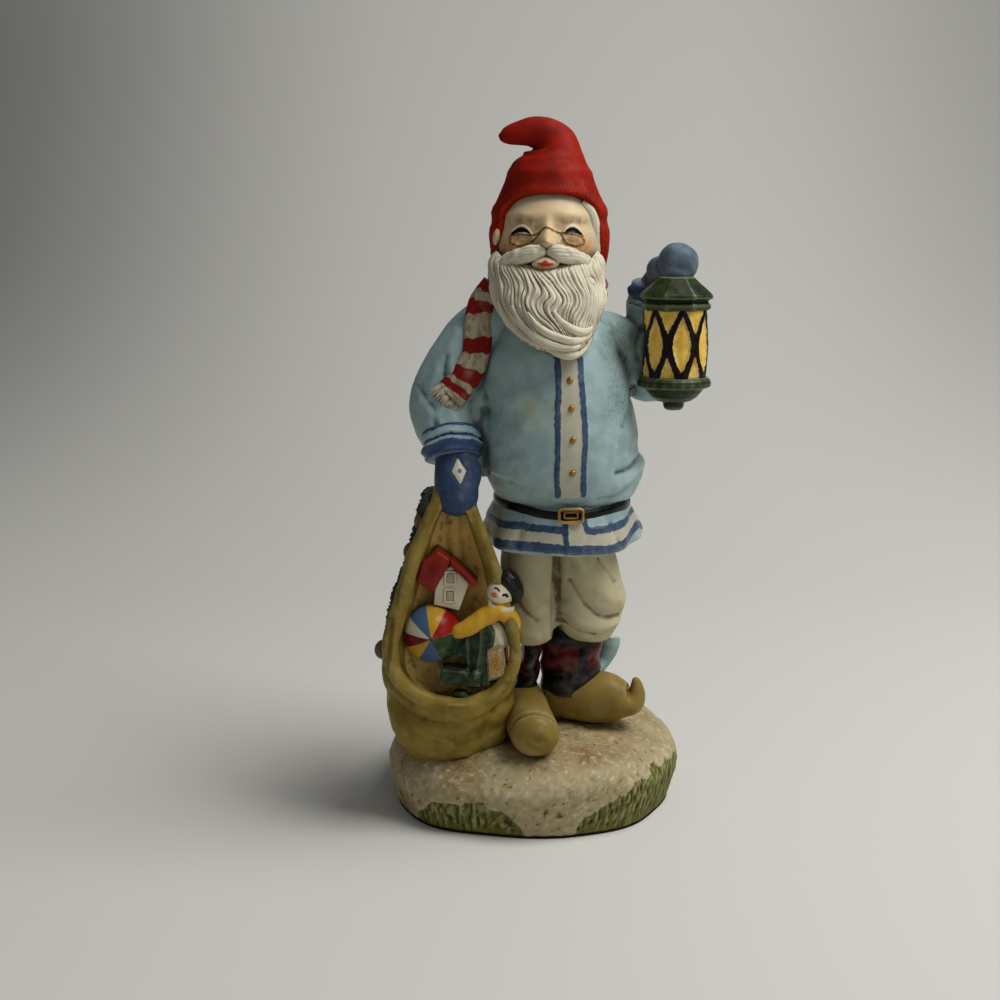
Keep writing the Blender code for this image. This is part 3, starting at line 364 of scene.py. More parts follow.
class Paint:
    """A material laid on in coats, as the brush did: a ground colour, then colours over it by masks.

    Sizes are in millimetres. A mask is a number from 0 to 1 or a socket that gives one.
    """

    CLEAR_COAT, COAT_ROUGHNESS, SHEEN = 0.5, 0.16, 0.10

    def __init__(self, name, ground, roughness=0.45, coat=0.0, metallic=0.0):
        self.made = bpy.data.materials.new(name)
        self.made.use_nodes = True
        self.nodes, self.links = self.made.node_tree.nodes, self.made.node_tree.links
        self.shader = self.nodes["Principled BSDF"]
        self.shader.inputs["Coat Weight"].default_value = self.CLEAR_COAT * coat
        self.shader.inputs["Coat Roughness"].default_value = self.COAT_ROUGHNESS
        self.shader.inputs["Specular IOR Level"].default_value = self.SHEEN
        self.shader.inputs["Metallic"].default_value = metallic
        self.made.diffuse_color = (*srgb(*ground), 1)
        self.colour = srgb(*ground)
        self.roughness = roughness
        self.heights = []
        self.where = self.nodes.new("ShaderNodeTexCoord").outputs["Object"]

    def plug(self, socket, value):
        if isinstance(value, bpy.types.NodeSocket):
            self.links.new(value, socket)
        elif isinstance(value, tuple) and len(value) == 3:
            socket.default_value = (*value, 1)
        else:
            socket.default_value = value

    def noise(self, size, detail=3.0, stretch=(1, 1, 1), lumps=0.55):
        scaled = self.nodes.new("ShaderNodeMapping")
        scaled.inputs["Scale"].default_value = [k / (size * MM) for k in stretch]
        self.links.new(self.where, scaled.inputs["Vector"])
        made = self.nodes.new("ShaderNodeTexNoise")
        made.inputs["Scale"].default_value = 1.0
        made.inputs["Detail"].default_value = detail
        made.inputs["Roughness"].default_value = lumps
        self.links.new(scaled.outputs[0], made.inputs["Vector"])
        return made.outputs["Fac"]

    def stored(self, name):
        made = self.nodes.new("ShaderNodeAttribute")
        made.attribute_name = name
        return made.outputs["Fac"]

    def step(self, value, low, high, top=1.0, bottom=0.0):
        """A soft step from bottom at low to top at high."""
        made = self.nodes.new("ShaderNodeMapRange")
        made.interpolation_type = "SMOOTHSTEP"
        for socket, given in zip(made.inputs[:5], (value, low, high, bottom, top)):
            self.plug(socket, given)
        return made.outputs[0]

    def sum(self, a, b, kind="ADD"):
        made = self.nodes.new("ShaderNodeMath")
        made.operation = kind
        self.plug(made.inputs[0], a)
        self.plug(made.inputs[1], b)
        return made.outputs[0]

    def times(self, a, b):
        return self.sum(a, b, "MULTIPLY")

    def over(self, colour, mask):
        """Lays the colour on where the mask is 1."""
        made = self.nodes.new("ShaderNodeMix")
        made.data_type = "RGBA"
        self.plug(made.inputs["Factor"], mask)
        self.plug(made.inputs["A"], self.colour)
        self.plug(made.inputs["B"], srgb(*colour))
        self.colour = made.outputs["Result"]

    def patches(self, colour, size, detail, low, high, most=1.0, within=None, **kind):
        """Lays the colour on in uneven patches: none where the noise is low, most of it where it is high."""
        mask = self.step(self.noise(size, detail, **kind), low, high, most)
        self.over(colour, mask if within is None else self.times(within, mask))

    def brushed(self, name, colour, wobble=0.25, soft=0.12, size=1.4, worn=0.0):
        """Lays the colour inside the stored outline, with a hand's wobble and with worn spots."""
        edge = self.sum(self.stored(name), self.times(self.sum(self.noise(size, 2.0), -0.5), 2 * wobble))
        mask = self.step(edge, -soft, soft)
        if worn:
            mask = self.times(mask, self.step(self.noise(0.9, 4.0, lumps=0.7), 0.30, 0.42, 1.0, 1.0 - worn))
        self.over(colour, mask)
        return mask

    def shade(self, mask, amount):
        """Makes the paint rougher or glossier where the mask is 1."""
        self.roughness = self.sum(self.roughness, self.times(mask, amount))

    def relief(self, value, height):
        """Raises the surface by height millimetres where value is 1."""
        self.heights.append(self.times(value, height * MM))

    def aged(self, wash=(52, 36, 20), depth=0.75, low=0.05, high=0.8, mottle=0.16, grime=0.35, speckle=0.0,
             grain=0.02, lighter=(255, 250, 235), rub=0.12):
        """Uneven paint, a wash left in the grooves, rubbed ridges, dirt and painted shade in the corners,
        specks and grain.
        """
        self.patches((30, 26, 18), 9.0, 3.0, 0.40, 0.75, mottle)
        self.patches(lighter, 5.0, 4.0, 0.50, 0.80, mottle * 0.7)
        groove = self.stored("groove")
        patchy = self.step(self.noise(2.6, 3.0), 0.25, 0.60, 1.0, 0.45)
        self.over(wash, self.times(self.step(groove, low, high, depth), patchy))
        self.over(lighter, self.step(groove, -0.15, -0.9, rub))
        if grime:
            # Dirt and painted shade: the wash colour is laid on where the surface is occluded, in corners,
            # creases and between parts.
            corner = self.nodes.new("ShaderNodeAmbientOcclusion")
            corner.samples = 5
            corner.inputs["Distance"].default_value = 2.4 * MM
            self.over(wash, self.times(self.step(corner.outputs["AO"], 0.72, 0.15, grime), patchy))
        if speckle:
            spots = self.step(self.noise(0.55, 2.0, lumps=0.6), 0.685, 0.74, speckle)
            self.patches((40, 28, 16), 7.0, 2.0, 0.35, 0.65, within=spots)
        self.relief(self.noise(0.5, 4.0, lumps=0.65), grain)
        return self

    def done(self):
        self.plug(self.shader.inputs["Base Color"], self.colour)
        uneven = self.step(self.noise(1.8, 3.0), 0.3, 0.7, 0.10, -0.06)
        self.plug(self.shader.inputs["Roughness"], self.sum(self.roughness, uneven))
        if self.heights:
            height = self.heights[0]
            for more in self.heights[1:]:
                height = self.sum(height, more)
            bump = self.nodes.new("ShaderNodeBump")
            bump.inputs["Strength"].default_value = 1.0
            bump.inputs["Distance"].default_value = 1.0
            self.links.new(height, bump.inputs["Height"])
            self.links.new(bump.outputs[0], self.shader.inputs["Normal"])
        return self.made


def simple(name, ground, roughness=0.42, coat=0.15, **aging):
    """A paint of one colour, aged."""
    return Paint(name, ground, roughness, coat).aged(**aging).done()


pieces = []


def keep(obj, steps, full):
    """Counts the piece as part of the figurine, with its grooves stored."""
    store_grooves(obj, steps, full)
    pieces.append(obj)
    return obj


# Base

GREEN_PATCHES = (  # middle and half width in degrees round the base, top in millimetres
    (-116.0, 24.0, 11.0),
    (-26.0, 50.0, 16.0),
    (166.0, 30.0, 12.0),
    (95.0, 22.0, 9.0),
)
STAINS = ((14.5, -28.0, 5.5, 1.0), (-19.0, -31.0, 6.5, 0.9), (1.0, -31.0, 4.5, 0.7), (-34.0, -20.0, 4.0, 0.5),
          (27.0, -14.0, 5.0, 0.5), (8.0, -20.0, 5.0, 0.45), (20.0, 15.0, 6.0, 0.5), (-10.0, 20.0, 7.0, 0.4))


def snow_height(x, y):
    """The height of the snow, which falls towards the left and the front left."""
    dip = 2.0 * smooth(-x, 26, 42) + 1.4 * bell(x, -16, 13) * smooth(-y, 24, 38)
    rise = 0.9 * bell(x, 26, 20) * bell(y, 18, 18) + 0.8 * bell(x, 2, 14) * bell(y, -12, 14)
    return 22.4 - dip + rise


BASE_HALF = (41.5, 40.0)  # half the mound's width and depth


def base_profile():
    """Evenly spaced rows of (share of the height, share of the radius), from the underside to the top."""
    levels = ((0.0, 0.0), (0.0, 0.5), (0.0, 0.90), (0.012, 0.935), (0.06, 0.945), (0.20, 0.965),
              (0.38, 0.99), (0.54, 1.0), (0.66, 0.985), (0.77, 0.935), (0.86, 0.85), (0.93, 0.73),
              (0.97, 0.57), (0.99, 0.36), (1.0, 0.16), (1.0, 0.004))
    fine, count = 300, 138
    rows = through(levels, fine)
    gaps = np.linalg.norm(np.diff(rows * (22, 41), axis=0), axis=1)
    reached = np.concatenate([[0], np.cumsum(gaps)])
    even = np.interp(np.linspace(0, gaps.sum(), count), reached, np.arange(fine))
    return np.stack([np.interp(even, np.arange(fine), rows[:, k]) for k in range(2)], 1)


def base_grid(profile, angle):
    """The mound before its drifts: a rounded square block with a wavy outline, wavier towards the top."""
    outline = 1 + 0.016 * np.sin(0.4 - 3 * angle) + 0.012 * np.sin(1.9 - 5 * angle)
    outline = outline + 0.008 * np.sin(0.2 - 9 * angle)
    c, s = np.cos(angle), np.sin(angle)
    square = 2 / 2.2
    height = (0.0, 0.12, 0.35, 0.55, 0.70, 0.82, 0.91, 0.96, 0.99, 1.0)
    share = np.interp(profile[:, :1], height, np.linspace(0.1, 1.0, 10))
    turn = 3 * share - angle
    waves = 0.015 * np.sin(4 * turn + 2.2) + 0.010 * np.sin(7 * turn + 1.0)
    outline = outline + share * np.minimum(1, 4 * (1 - share)) * waves
    x = profile[:, 1:] * BASE_HALF[0] * outline * np.sign(c) * np.abs(c) ** square
    y = profile[:, 1:] * BASE_HALF[1] * outline * np.sign(s) * np.abs(s) ** square
    return np.stack([x, y, profile[:, :1] * snow_height(x, y)], -1)


def grass_outline(grid, angle, profile):
    """How far each point of the wall lies inside the grass clumps, whose tops are ragged."""
    z = grid[..., 2]
    wrap = np.degrees(np.broadcast_to(angle, z.shape))
    green = np.full(z.shape, -5.0)
    for middle, half, top in GREEN_PATCHES:
        turn = (wrap - middle + 180) % 360 - 180
        dome = top * np.sqrt(np.maximum(1 - (turn / half) ** 2, 0)) - 1.0
        ragged = noise(grid * (1, 1, 0.6), 3.0, 17, 3) * 2.2
        green = np.maximum(green, np.where(np.abs(turn) < half, dome - z + ragged, -3.0))
    on_wall = smooth(profile[:, 1:], 0.86, 0.93)
    return np.where(on_wall > 0.4, green, -2.0)


def make_base():
    """The snowy mound, with drifts and crumbs on top and blades of grass on its wall."""
    profile = base_profile()
    around = 340
    angle = np.arange(around) * TAU / around
    grid = base_grid(profile, angle)
    x, y, z = np.moveaxis(grid, -1, 0)
    drifts = noise(grid, 11, 3, 3) * 0.7 + noise(grid, 4.2, 7, 2) * 0.5
    crumbs = noise(grid, 1.3, 11, 2) * 0.28 + noise(grid, 0.6, 13, 1) * 0.12
    above = smooth(z, 0.4, 3.5)
    green = grass_outline(grid, angle, profile)
    grass = smooth(green, -0.3, 0.5)
    flat = np.broadcast_to(angle, x.shape)
    turf = np.degrees(flat) * 0.7 + 0.12 * z * np.sin(3 * flat) + noise(grid, 2.5, 19, 2) * 0.9
    blades = np.abs(np.sin(turf * 2.6)) ** 0.7 - 0.5
    blades = blades + 0.6 * noise(np.stack([turf * 1.1, z * 0.35, 0 * z], -1), 0.8, 23)
    tips = 0.35 * np.sin(z * 1.7 + 4 * noise(grid, 1.6, 29))
    lifted = above * ((drifts + crumbs) * (1 - 0.75 * grass) + grass * (0.42 * blades + 0.2 * tips - 0.25))
    rise = 6 + 18 * smooth(profile[:, 1:], 0.95, 0.4) + 0 * x
    out = unit(np.stack([x * 0.8, y * 0.8, rise], -1))
    out[..., 2] *= smooth(z, 0.3, 2.0)
    grid = grid + out * lifted[..., None]
    grid[..., 2] = np.where(profile[:, :1] <= 0.0, 0.0, grid[..., 2])
    stain = 0.5 * smooth(profile[:, 1:], 0.95, 0.82) * smooth(noise(grid, 6.0, 33, 2), -0.6, 0.3) + 0 * x
    for sx, sy, size, strength in STAINS:
        far = np.hypot(x - sx, y - sy) + 2.2 * noise(grid, 3.0, 31, 3)
        stain = np.maximum(stain, strength * smooth(far, size * 1.5, size * 0.2))
    underside = (0, 0, 0)
    points = np.vstack([grid.reshape(-1, 3), underside, grid[-1].mean(0)])
    obj = build("snow_mound", points, faces_of(*x.shape), base_paint())
    for name, values in (("green", green), ("stain", stain), ("blades", blades * grass)):
        store(obj, name, values, (0, 0))
    # Where the painted shadow goes: round the mound's bottom edge, in its lowest millimetre, where it meets
    # the floor.
    store(obj, "foot", 0.9 - points[:, 2] + 0.25 * noise(points, 1.5, 5, 2))
    keep(obj, 6, 0.20)


def base_paint():
    """Dirty snow with brown stains, grass with light and dark blades, and a painted shadow round the bottom
    edge.
    """
    # The snow's ground colour and the grass's green are partly painted shade: darker for the dimmer light low
    # on the figure.
    paint = Paint("snow_and_grass", (166, 152, 114), 0.62)
    paint.patches((122, 90, 36), 0.8, 5.0, 0.28, 0.58, 0.95, paint.stored("stain"), lumps=0.75)
    paint.patches((96, 82, 66), 3.2, 5.0, 0.52, 0.78, 0.55, lumps=0.7)
    paint.patches((206, 197, 170), 1.6, 4.0, 0.54, 0.70, 0.65)
    turf = paint.brushed("green", (98, 98, 42), 0.6, 0.25, 1.2)
    paint.over((136, 134, 76), paint.times(turf, paint.step(paint.stored("blades"), 0.1, 0.7, 0.6)))
    paint.over((28, 32, 10), paint.times(turf, paint.step(paint.stored("blades"), -0.05, -0.5, 0.75)))
    paint.aged(wash=(62, 46, 26), depth=0.85, low=0.02, high=0.75, mottle=0.10, grime=0.55, speckle=0.8,
               grain=0.10)
    # The painted shadow along the bottom edge.
    paint.brushed("foot", (24, 24, 18), 0.2, 0.15)
    return paint.done()


# Legs

def make_shoes():
    """The left shoe, which points at the viewer, and the right one with its curled tip."""
    # The ground colour is partly painted shade: darker for the dimmer light low on the figure.
    paint = Paint("shoe_cream", (136, 114, 54), 0.42, 0.12)
    paint.patches((104, 78, 28), 6.0, 3.0, 0.45, 0.75, 0.5)
    paint.aged(wash=(96, 68, 28), depth=0.7, grime=0.6, mottle=0.12, speckle=0.35, grain=0.02)
    paint = paint.done()
    x, y = LEFT_ANKLE[:2]
    rings = [(x - 2.2, y + 5, 29.5, 3.6, 4.5), (x - 2.2, y + 2.5, 29.0, 5.6, 6.6),
             (x - 2.0, y - 4, 28.4, 6.5, 7.4), (x - 1.4, y - 9.5, 27.9, 6.6, 7.0),
             (x - 0.3, y - 15, 27.3, 6.7, 6.6), (x + 0.5, y - 20, 26.9, 6.4, 6.1),
             (x + 0.7, y - 22.6, 26.6, 4.6, 4.4), (x + 0.7, y - 23.5, 26.4, 2.0, 1.9),
             (x + 0.7, y - 23.7, 26.4, 0.2, 0.2)]
    form = Form(rings, 84, 90)
    crease = bell(form.share * 40 + 1.6 * np.cos(form.angle - 2.2), 22.5, 0.7)
    top = smooth(form.grid[..., 2], 27, 31)
    form.lift(-0.65 * crease * top + 0.15 * noise(form.grid, 4, 3, 2))
    keep(place("left_shoe", form, paint), 8, 0.2)
    x, y = RIGHT_ANKLE[:2]
    rings = [(x - 9.4, y + 1.9, 31.0, 2.8, 4.2), (x - 7.8, y + 1.6, 30.8, 5.5, 6.6),
             (x - 1.8, y + 0.4, 30.4, 6.8, 7.5), (x + 4.2, y - 0.8, 29.9, 7.0, 7.7),
             (x + 9.3, y - 1.8, 29.9, 6.6, 7.1), (x + 13.0, y - 2.7, 29.8, 6.0, 5.6),
             (x + 15.6, y - 3.2, 30.0, 4.8, 4.4), (x + 16.8, y - 3.5, 31.6, 3.2, 3.0),
             (x + 17.0, y - 3.5, 33.6, 2.2, 2.0), (x + 16.8, y - 3.5, 35.1, 1.5, 1.4),
             (x + 16.5, y - 3.5, 36.1, 0.8, 0.8), (x + 16.4, y - 3.5, 36.4, 0.1, 0.1)]
    form = Form(rings, 84, 100, side=(0, -1, 0))
    curl = bell(form.grid[..., 0], x + 14.6, 0.7) * smooth(form.grid[..., 2], 31, 33)
    form.lift(0.18 * noise(form.grid, 5, 9, 2) - 0.35 * curl)
    keep(place("right_shoe", form, paint), 8, 0.2)


def make_stockings():
    """The lower legs, red with a black pattern and black edges."""
    paint = Paint("stocking_red", (76, 8, 7), 0.26, 0.4)
    paint.patches((120, 14, 10), 3.4, 1.5, 0.56, 0.64, 0.9)
    paint.brushed("outline", (10, 8, 8), 0.5, 0.2, 1.6)
    paint.aged(wash=(8, 4, 4), depth=0.7, mottle=0.1, grime=0.4, grain=0.01, rub=0.03)
    paint = paint.done()
    left = ((-4.0, -2.3, 3.7), (1.5, -1.8, 3.4), (7.5, -0.7, 2.9), (12.0, -0.1, 2.7), (18.0, 0.0, 2.7))
    right = ((-4.0, -1.8, 8.0), (0.0, -1.8, 8.4), (6.5, -1.6, 8.6), (12.5, -1.5, 8.5), (18.0, -1.2, 8.0))
    for name, (x, y, z), deep, seam, levels in (
        ("left_stocking", LEFT_ANKLE, 5.6, -0.4, left),
        ("right_stocking", RIGHT_ANKLE, 6.6, 1.5, right),
    ):
        form = Form([(x + shift, y, z + height, wide, deep) for height, shift, wide in levels], 80, 50)
        form.lift(0.3 * np.sin(2 * form.angle + form.grid[..., 2]) + 0.25 * noise(form.grid, 3, 5, 2))
        obj = place(name, form, paint)
        points = points_of(obj)
        edge = np.maximum(39.2 - points[:, 2], points[:, 2] - 47.0)
        stripe = 1.2 - np.abs(points[:, 0] - (x + seam) - 0.15 * (points[:, 2] - 42))
        store(obj, "outline", np.maximum(edge, stripe) + 0.3)
        keep(obj, 8, 0.2)


def make_trousers():
    """The baggy breeches: two legs fused, with folds pressed in."""
    left = Form([(-0.6, -12, 80, 7.6, 10.5), (-0.8, -12, 73, 7.8, 10.8), (-0.6, -12, 66, 8.0, 11.2),
                 (-0.3, -12, 59, 8.2, 11.4), (0.0, -12, 54.5, 7.8, 10.8), (0.1, -12, 51, 6.6, 9.2),
                 (0.1, -12, 48.6, 4.8, 6.8), (0.1, -12, 47.8, 3.0, 4.5)], 90, 66)
    right = Form([(13.4, -7.5, 80, 9.0, 12.5), (13.7, -7.5, 73, 9.1, 12.5), (14.6, -7.5, 66, 10.2, 12.8),
                  (15.2, -7.5, 60, 11.0, 13.0), (14.9, -7.5, 55.5, 10.6, 12.6), (14.2, -7.5, 52, 9.4, 11.2),
                  (13.4, -7.5, 49.8, 7.2, 9.0), (13.0, -7.5, 48.6, 4.5, 6.0)], 90, 66)
    obj = fused("trousers", [left.closed(), right.closed()], 0.56, trousers_paint(), 5)
    strokes = [
        ([(6.4, 74), (6.2, 66), (6.0, 58), (6.0, 51)], 1.0, -1.0),
        ([(12, 74), (16, 67), (21, 62), (25, 60)], 2.0, 0.8),
        ([(10, 67), (14, 61), (19, 57), (24, 56)], 1.3, -0.8),
        ([(9, 59), (13, 55.5), (18, 53.5), (23, 54)], 1.4, 0.8),
        ([(8, 55), (12, 52.6), (17, 51.6)], 0.9, -0.7),
        ([(18, 73), (21, 69), (23, 66)], 1.2, -0.7),
        ([(-6, 71), (-2, 65), (2, 61)], 1.7, 0.7),
        ([(-7, 65), (-3, 60), (1, 57)], 1.2, -0.7),
        ([(-6, 58), (-3, 54), (1, 52)], 1.3, 0.6),
    ]
    carve(obj, strokes, 0.6)
    points = points_of(obj)
    turned = np.arctan2(points[:, 1] + 9, points[:, 0] - 7)
    folds = 0.35 * np.sin(7 * turned + 0.22 * points[:, 2]) * smooth(points[:, 1], -6, 4)
    lift(obj, folds + 0.45 * noise(points, 5, 21, 2) + 0.06 * noise(points, 1.2, 22, 2))
    keep(obj, 8, 0.3)


def trousers_paint():
    """Grubby cream, darkened in part as painted shade, with a brown wash and painted shade in the folds."""
    # The ground colour is partly painted shade: darker for the dimmer light low on the figure.
    paint = Paint("trouser_cream", (186, 176, 142), 0.55, 0.04)
    paint.patches((134, 116, 76), 5.0, 4.0, 0.50, 0.78, 0.5)
    paint.aged(wash=(70, 56, 30), depth=0.85, low=0.0, high=0.6, grime=0.75, mottle=0.16, speckle=0.25,
               grain=0.03)
    return paint.done()


# Coat

HEM_LINE, UPPER_LINE = 1.2, 6.2  # heights of the blue lines above the hem's own height HEM_Z


def coat_forms():
    """What the coat is fused from: torso, skirt, right sleeve, both halves of the left one, armpit."""
    x, y = BODY
    levels = ((84.5, 0.0, 15.5, 17.0), (89.0, 0.0, 17.0, 18.8), (91.6, 0.2, 19.6, 21.6),
              (95.5, 0.8, 21.6, 23.8), (100.0, 0.8, 21.9, 24.3), (106.0, 0.2, 21.7, 24.2),
              (115.3, -0.7, 20.9, 23.0), (123.7, -1.7, 19.6, 21.4), (131.0, -2.6, 17.2, 18.6),
              (137.0, -3.6, 12.8, 14.0), (141.5, -4.0, 9.4, 10.2), (147.0, -4.0, 7.2, 8.0))
    torso = Form([(x + shift, y, z, wide, deep) for z, shift, wide, deep in levels], 140, 120)
    side = np.maximum(np.cos(torso.angle), 0) ** 3
    torso.lift(side * (1.2 * bell(torso.grid[..., 2], 97, 3.5) - 0.7 * bell(torso.grid[..., 2], 103.5, 1.6)))
    levels = ((92.0, 16.6, 17.6), (89.0, 17.6, 19.2), (86.0, 19.4, 21.2), (82.0, 20.9, 23.0),
              (79.0, 21.7, 23.9), (77.4, 21.8, 24.0), (76.7, 20.6, 22.8), (77.6, 15.5, 17.5))
    skirt = Form([(x + 1.2, y, z, wide, deep) for z, wide, deep in levels], 200, 70)
    below = smooth(skirt.grid[..., 2], 88, 80)
    skirt.lift(below * (0.7 * np.sin(5 * skirt.angle + 0.6) + 0.4 * np.sin(8 * skirt.angle + 2.0)))
    corner = bell(skirt.angle, 0.25, 0.28)
    skirt.grid[..., 0] += 0.6 * corner * below
    skirt.grid[..., 2] += 1.2 * corner * smooth(skirt.grid[..., 2], 84, 77)
    right = Form([(2.0, -8.0, 143.0, 5.5, 5.5), (-6.5, -7.6, 137.8, 8.3, 8.4),
                  (-14.6, -7.6, 131.3, 9.6, 9.7), (-20.3, -8.2, 123.0, 9.8, 9.8),
                  (-23.7, -10.0, 115.5, 9.8, 9.8), (-23.7, -13.4, 110.3, 8.9, 8.9),
                  (-22.4, -17.4, 106.6, 7.3, 7.3), (-22.0, -19.2, 104.0, 6.4, 6.4)], 110, 110)
    upper = Form([(10, -6, 133, 5.0, 5.0), (18, -4.8, 131.5, 8.2, 8.2), (25, -3.2, 127.4, 8.8, 8.6),
                  (31, -1.8, 122.6, 8.2, 8.0), (34.6, -0.8, 119.6, 6.6, 6.6), (36.6, -0.4, 118.2, 3.6, 3.8)],
                 90, 80, side=(0, -1, 0))
    fore = Form([(35.2, -0.6, 114.5, 3.8, 4.2), (34.9, -0.6, 117.4, 6.6, 6.6), (33.8, -0.6, 124.0, 6.8, 6.8),
                 (32.2, -0.6, 132.0, 6.0, 6.2), (30.8, -0.6, 140.0, 5.0, 5.4),
                 (30.4, -0.6, 143.0, 4.6, 5.0)], 90, 80)
    armpit = ball((-13.6, -13.6, 108.0), (5.4, 5.4, 13.0))
    return [form.closed() for form in (torso, skirt, right, upper, fore)] + [armpit]


COAT_STROKES = [
    ([(-16.6, 135.0), (-17.2, 129.5), (-18.8, 124.0)], 1.3, -0.9),
    ([(-20.4, 134.0), (-22.2, 129.5), (-21.4, 124.0), (-19.4, 120.6)], 1.6, 0.8),
    ([(-22.8, 128.0), (-23.6, 123.5), (-21.0, 119.4)], 0.9, -0.7),
    ([(-25.6, 124.6), (-26.8, 121.0), (-27.6, 117.4)], 1.5, 0.6),
    ([(-30.2, 115.6), (-25.2, 111.8), (-24.4, 108.2)], 1.2, 0.6),
    ([(-31.0, 120.0), (-27.0, 115.4), (-26.0, 110.4)], 1.0, -0.6),
    ([(-13.8, 113.6), (-14.6, 108.6), (-13.8, 102.6), (-13.2, 98.0)], 1.5, -1.3),
    ([(-11.2, 116.4), (-8.6, 111.6)], 2.6, -0.9),
    ([(-12.0, 121.0), (-9.0, 117.6), (-5.6, 116.2)], 1.6, 0.5),
    ([(-10.0, 104.0), (-6.0, 106.0), (-2.6, 110.0)], 1.8, 0.4),
    ([(29.6, 101.4), (25.8, 99.0), (22.0, 98.4)], 1.0, -1.0),
    ([(30.0, 96.4), (26.4, 93.6), (22.8, 91.8), (17.0, 91.0)], 1.1, -0.9),
    ([(29.6, 99.0), (26.0, 96.2), (22.0, 94.6)], 1.3, 0.6),
    ([(-6.0, 95.0), (-1.0, 92.6), (4.0, 92.0)], 1.3, -0.4),
    ([(17.0, 136.0), (20.0, 131.0), (24.4, 127.0)], 1.4, -0.7),
    ([(21.6, 135.6), (25.0, 131.4)], 1.4, 0.5),
    ([(27.2, 118.4), (25.4, 113.4), (24.0, 110.4)], 1.4, -1.0),
    ([(30.4, 136.0), (28.0, 131.0), (28.4, 126.6)], 0.9, -0.6),
    ([(33.4, 133.4), (31.4, 129.0), (32.0, 125.0)], 0.9, 0.5),
    ([(20.6, 84.6), (22.6, 80.4)], 1.0, -0.7),
    ([(-3.0, 84.6), (-4.4, 79.4)], 1.1, -0.6),
    ([(26.6, 85.4), (28.6, 82.4)], 1.0, -0.6),
]
PLACKET_LEFT = ((5.7, 128.6), (6.0, 122.0), (5.8, 114.0), (5.9, 106.0), (5.7, 99.0), (6.1, 93.0))
PLACKET_RIGHT = ((11.6, 128.6), (12.0, 122.0), (12.6, 115.0), (13.0, 108.0), (12.6, 101.0), (12.7, 93.2))
PLACKET_SPAN, FLAP_SPAN = (92.4, 128.6), (8.6, 13.2)  # the placket's heights, and x of the flap below it
BUTTONS = ((9.0, 123.0), (9.4, 115.9), (9.8, 107.9), (9.8, 99.3))


def between(values, low, high):
    """How far inside the span each value lies."""
    return np.minimum(values - low, high - values)


def across_line(z, path):
    """The x of a line drawn down the front, at each height."""
    return np.interp(z, [point[1] for point in path[::-1]], [point[0] for point in path[::-1]])


def make_coat():
    """The coat with its skirt and sleeves, and the outlines of what is painted on it."""
    obj = fused("coat", coat_forms(), 0.58, coat_paint(), 5)
    carve(obj, COAT_STROKES, 0.7)
    points = points_of(obj)
    x, y, z = points.T
    behind = smooth(y, -6, 4)
    turned = np.arctan2(y + 8.5, x - 7)
    folds = 0.45 * behind * np.sin(6 * turned + 0.16 * z + 1.5 * noise(points, 16, 40)) * smooth(z, 86, 92)
    drape = 0.3 * behind * np.sin(0.32 * z + 2.5 * np.sin(turned * 2)) * smooth(z, 86, 92)
    lift(obj, folds + drape + 0.35 * noise(points, 7, 41, 2) + 0.05 * noise(points, 1.6, 42, 2))
    points = points_of(obj)
    x, y, z = points.T
    front = points[:, (0, 2)]
    facing = y < -14
    line = np.full(len(points), OUTSIDE)
    for path in (PLACKET_LEFT, PLACKET_RIGHT):
        gap = distance(front, through(path, 24))[0]
        line = np.maximum(line, np.where(facing, 0.78 - gap, OUTSIDE))
    swing = 0.35 * np.sin(4 * np.arctan2(y + 8.5, x - 8)) + 0.25 * noise(points, 5, 43, 2)
    height = z - HEM_Z + swing - 2.6 * smooth(x, 24, 30) * smooth(y, 0, -14)
    skirt = (z < 87.5) & (np.hypot((x - 8.0) / 16, (y + 8.5) / 18) > 1)
    flap = (x > 8.4) & (x < 13.6) & facing
    upper = np.where(flap, OUTSIDE, 0.95 - np.abs(height - UPPER_LINE))
    lines = np.maximum(1.25 - np.abs(height - HEM_LINE), upper)
    line = np.maximum(line, np.where(skirt, lines, OUTSIDE))
    for path in (((8.1, 87.0), (8.2, 83.0), (8.4, 78.0)), ((13.0, 86.4), (13.8, 83.8), (16.0, 83.0))):
        gap = distance(front, through(path, 16))[0]
        line = np.maximum(line, np.where(facing & (z < 88), 0.75 - gap, OUTSIDE))
    band = between(x, across_line(z, PLACKET_LEFT), across_line(z, PLACKET_RIGHT))
    band = np.where(facing, np.minimum(band, between(z, *PLACKET_SPAN)), OUTSIDE)
    hem_band = np.where(skirt, between(height, HEM_LINE, UPPER_LINE), OUTSIDE)
    flap_band = np.where(facing & (z < 88), np.minimum(between(x, *FLAP_SPAN), 87.4 - z), OUTSIDE)
    store(obj, "line", line)
    store(obj, "cream", np.maximum(np.maximum(band, hem_band), flap_band))
    soil = smooth(x, 15, 21) * smooth(x, 31, 25) * smooth(z, 108, 116) * smooth(y, -8, -14)
    store(obj, "soil", soil)
    sallow = np.maximum(bell(np.hypot(x + 12, z - 88), 0, 6), 0.8 * bell(np.hypot(x, z - 115), 0, 4))
    store(obj, "sallow", sallow * (y < -8))
    lift(obj, 0.16 * smooth(line, -0.35, 0.35) + 0.10 * smooth(np.maximum(band, flap_band), -0.3, 0.3))
    return keep(obj, 9, 0.35)


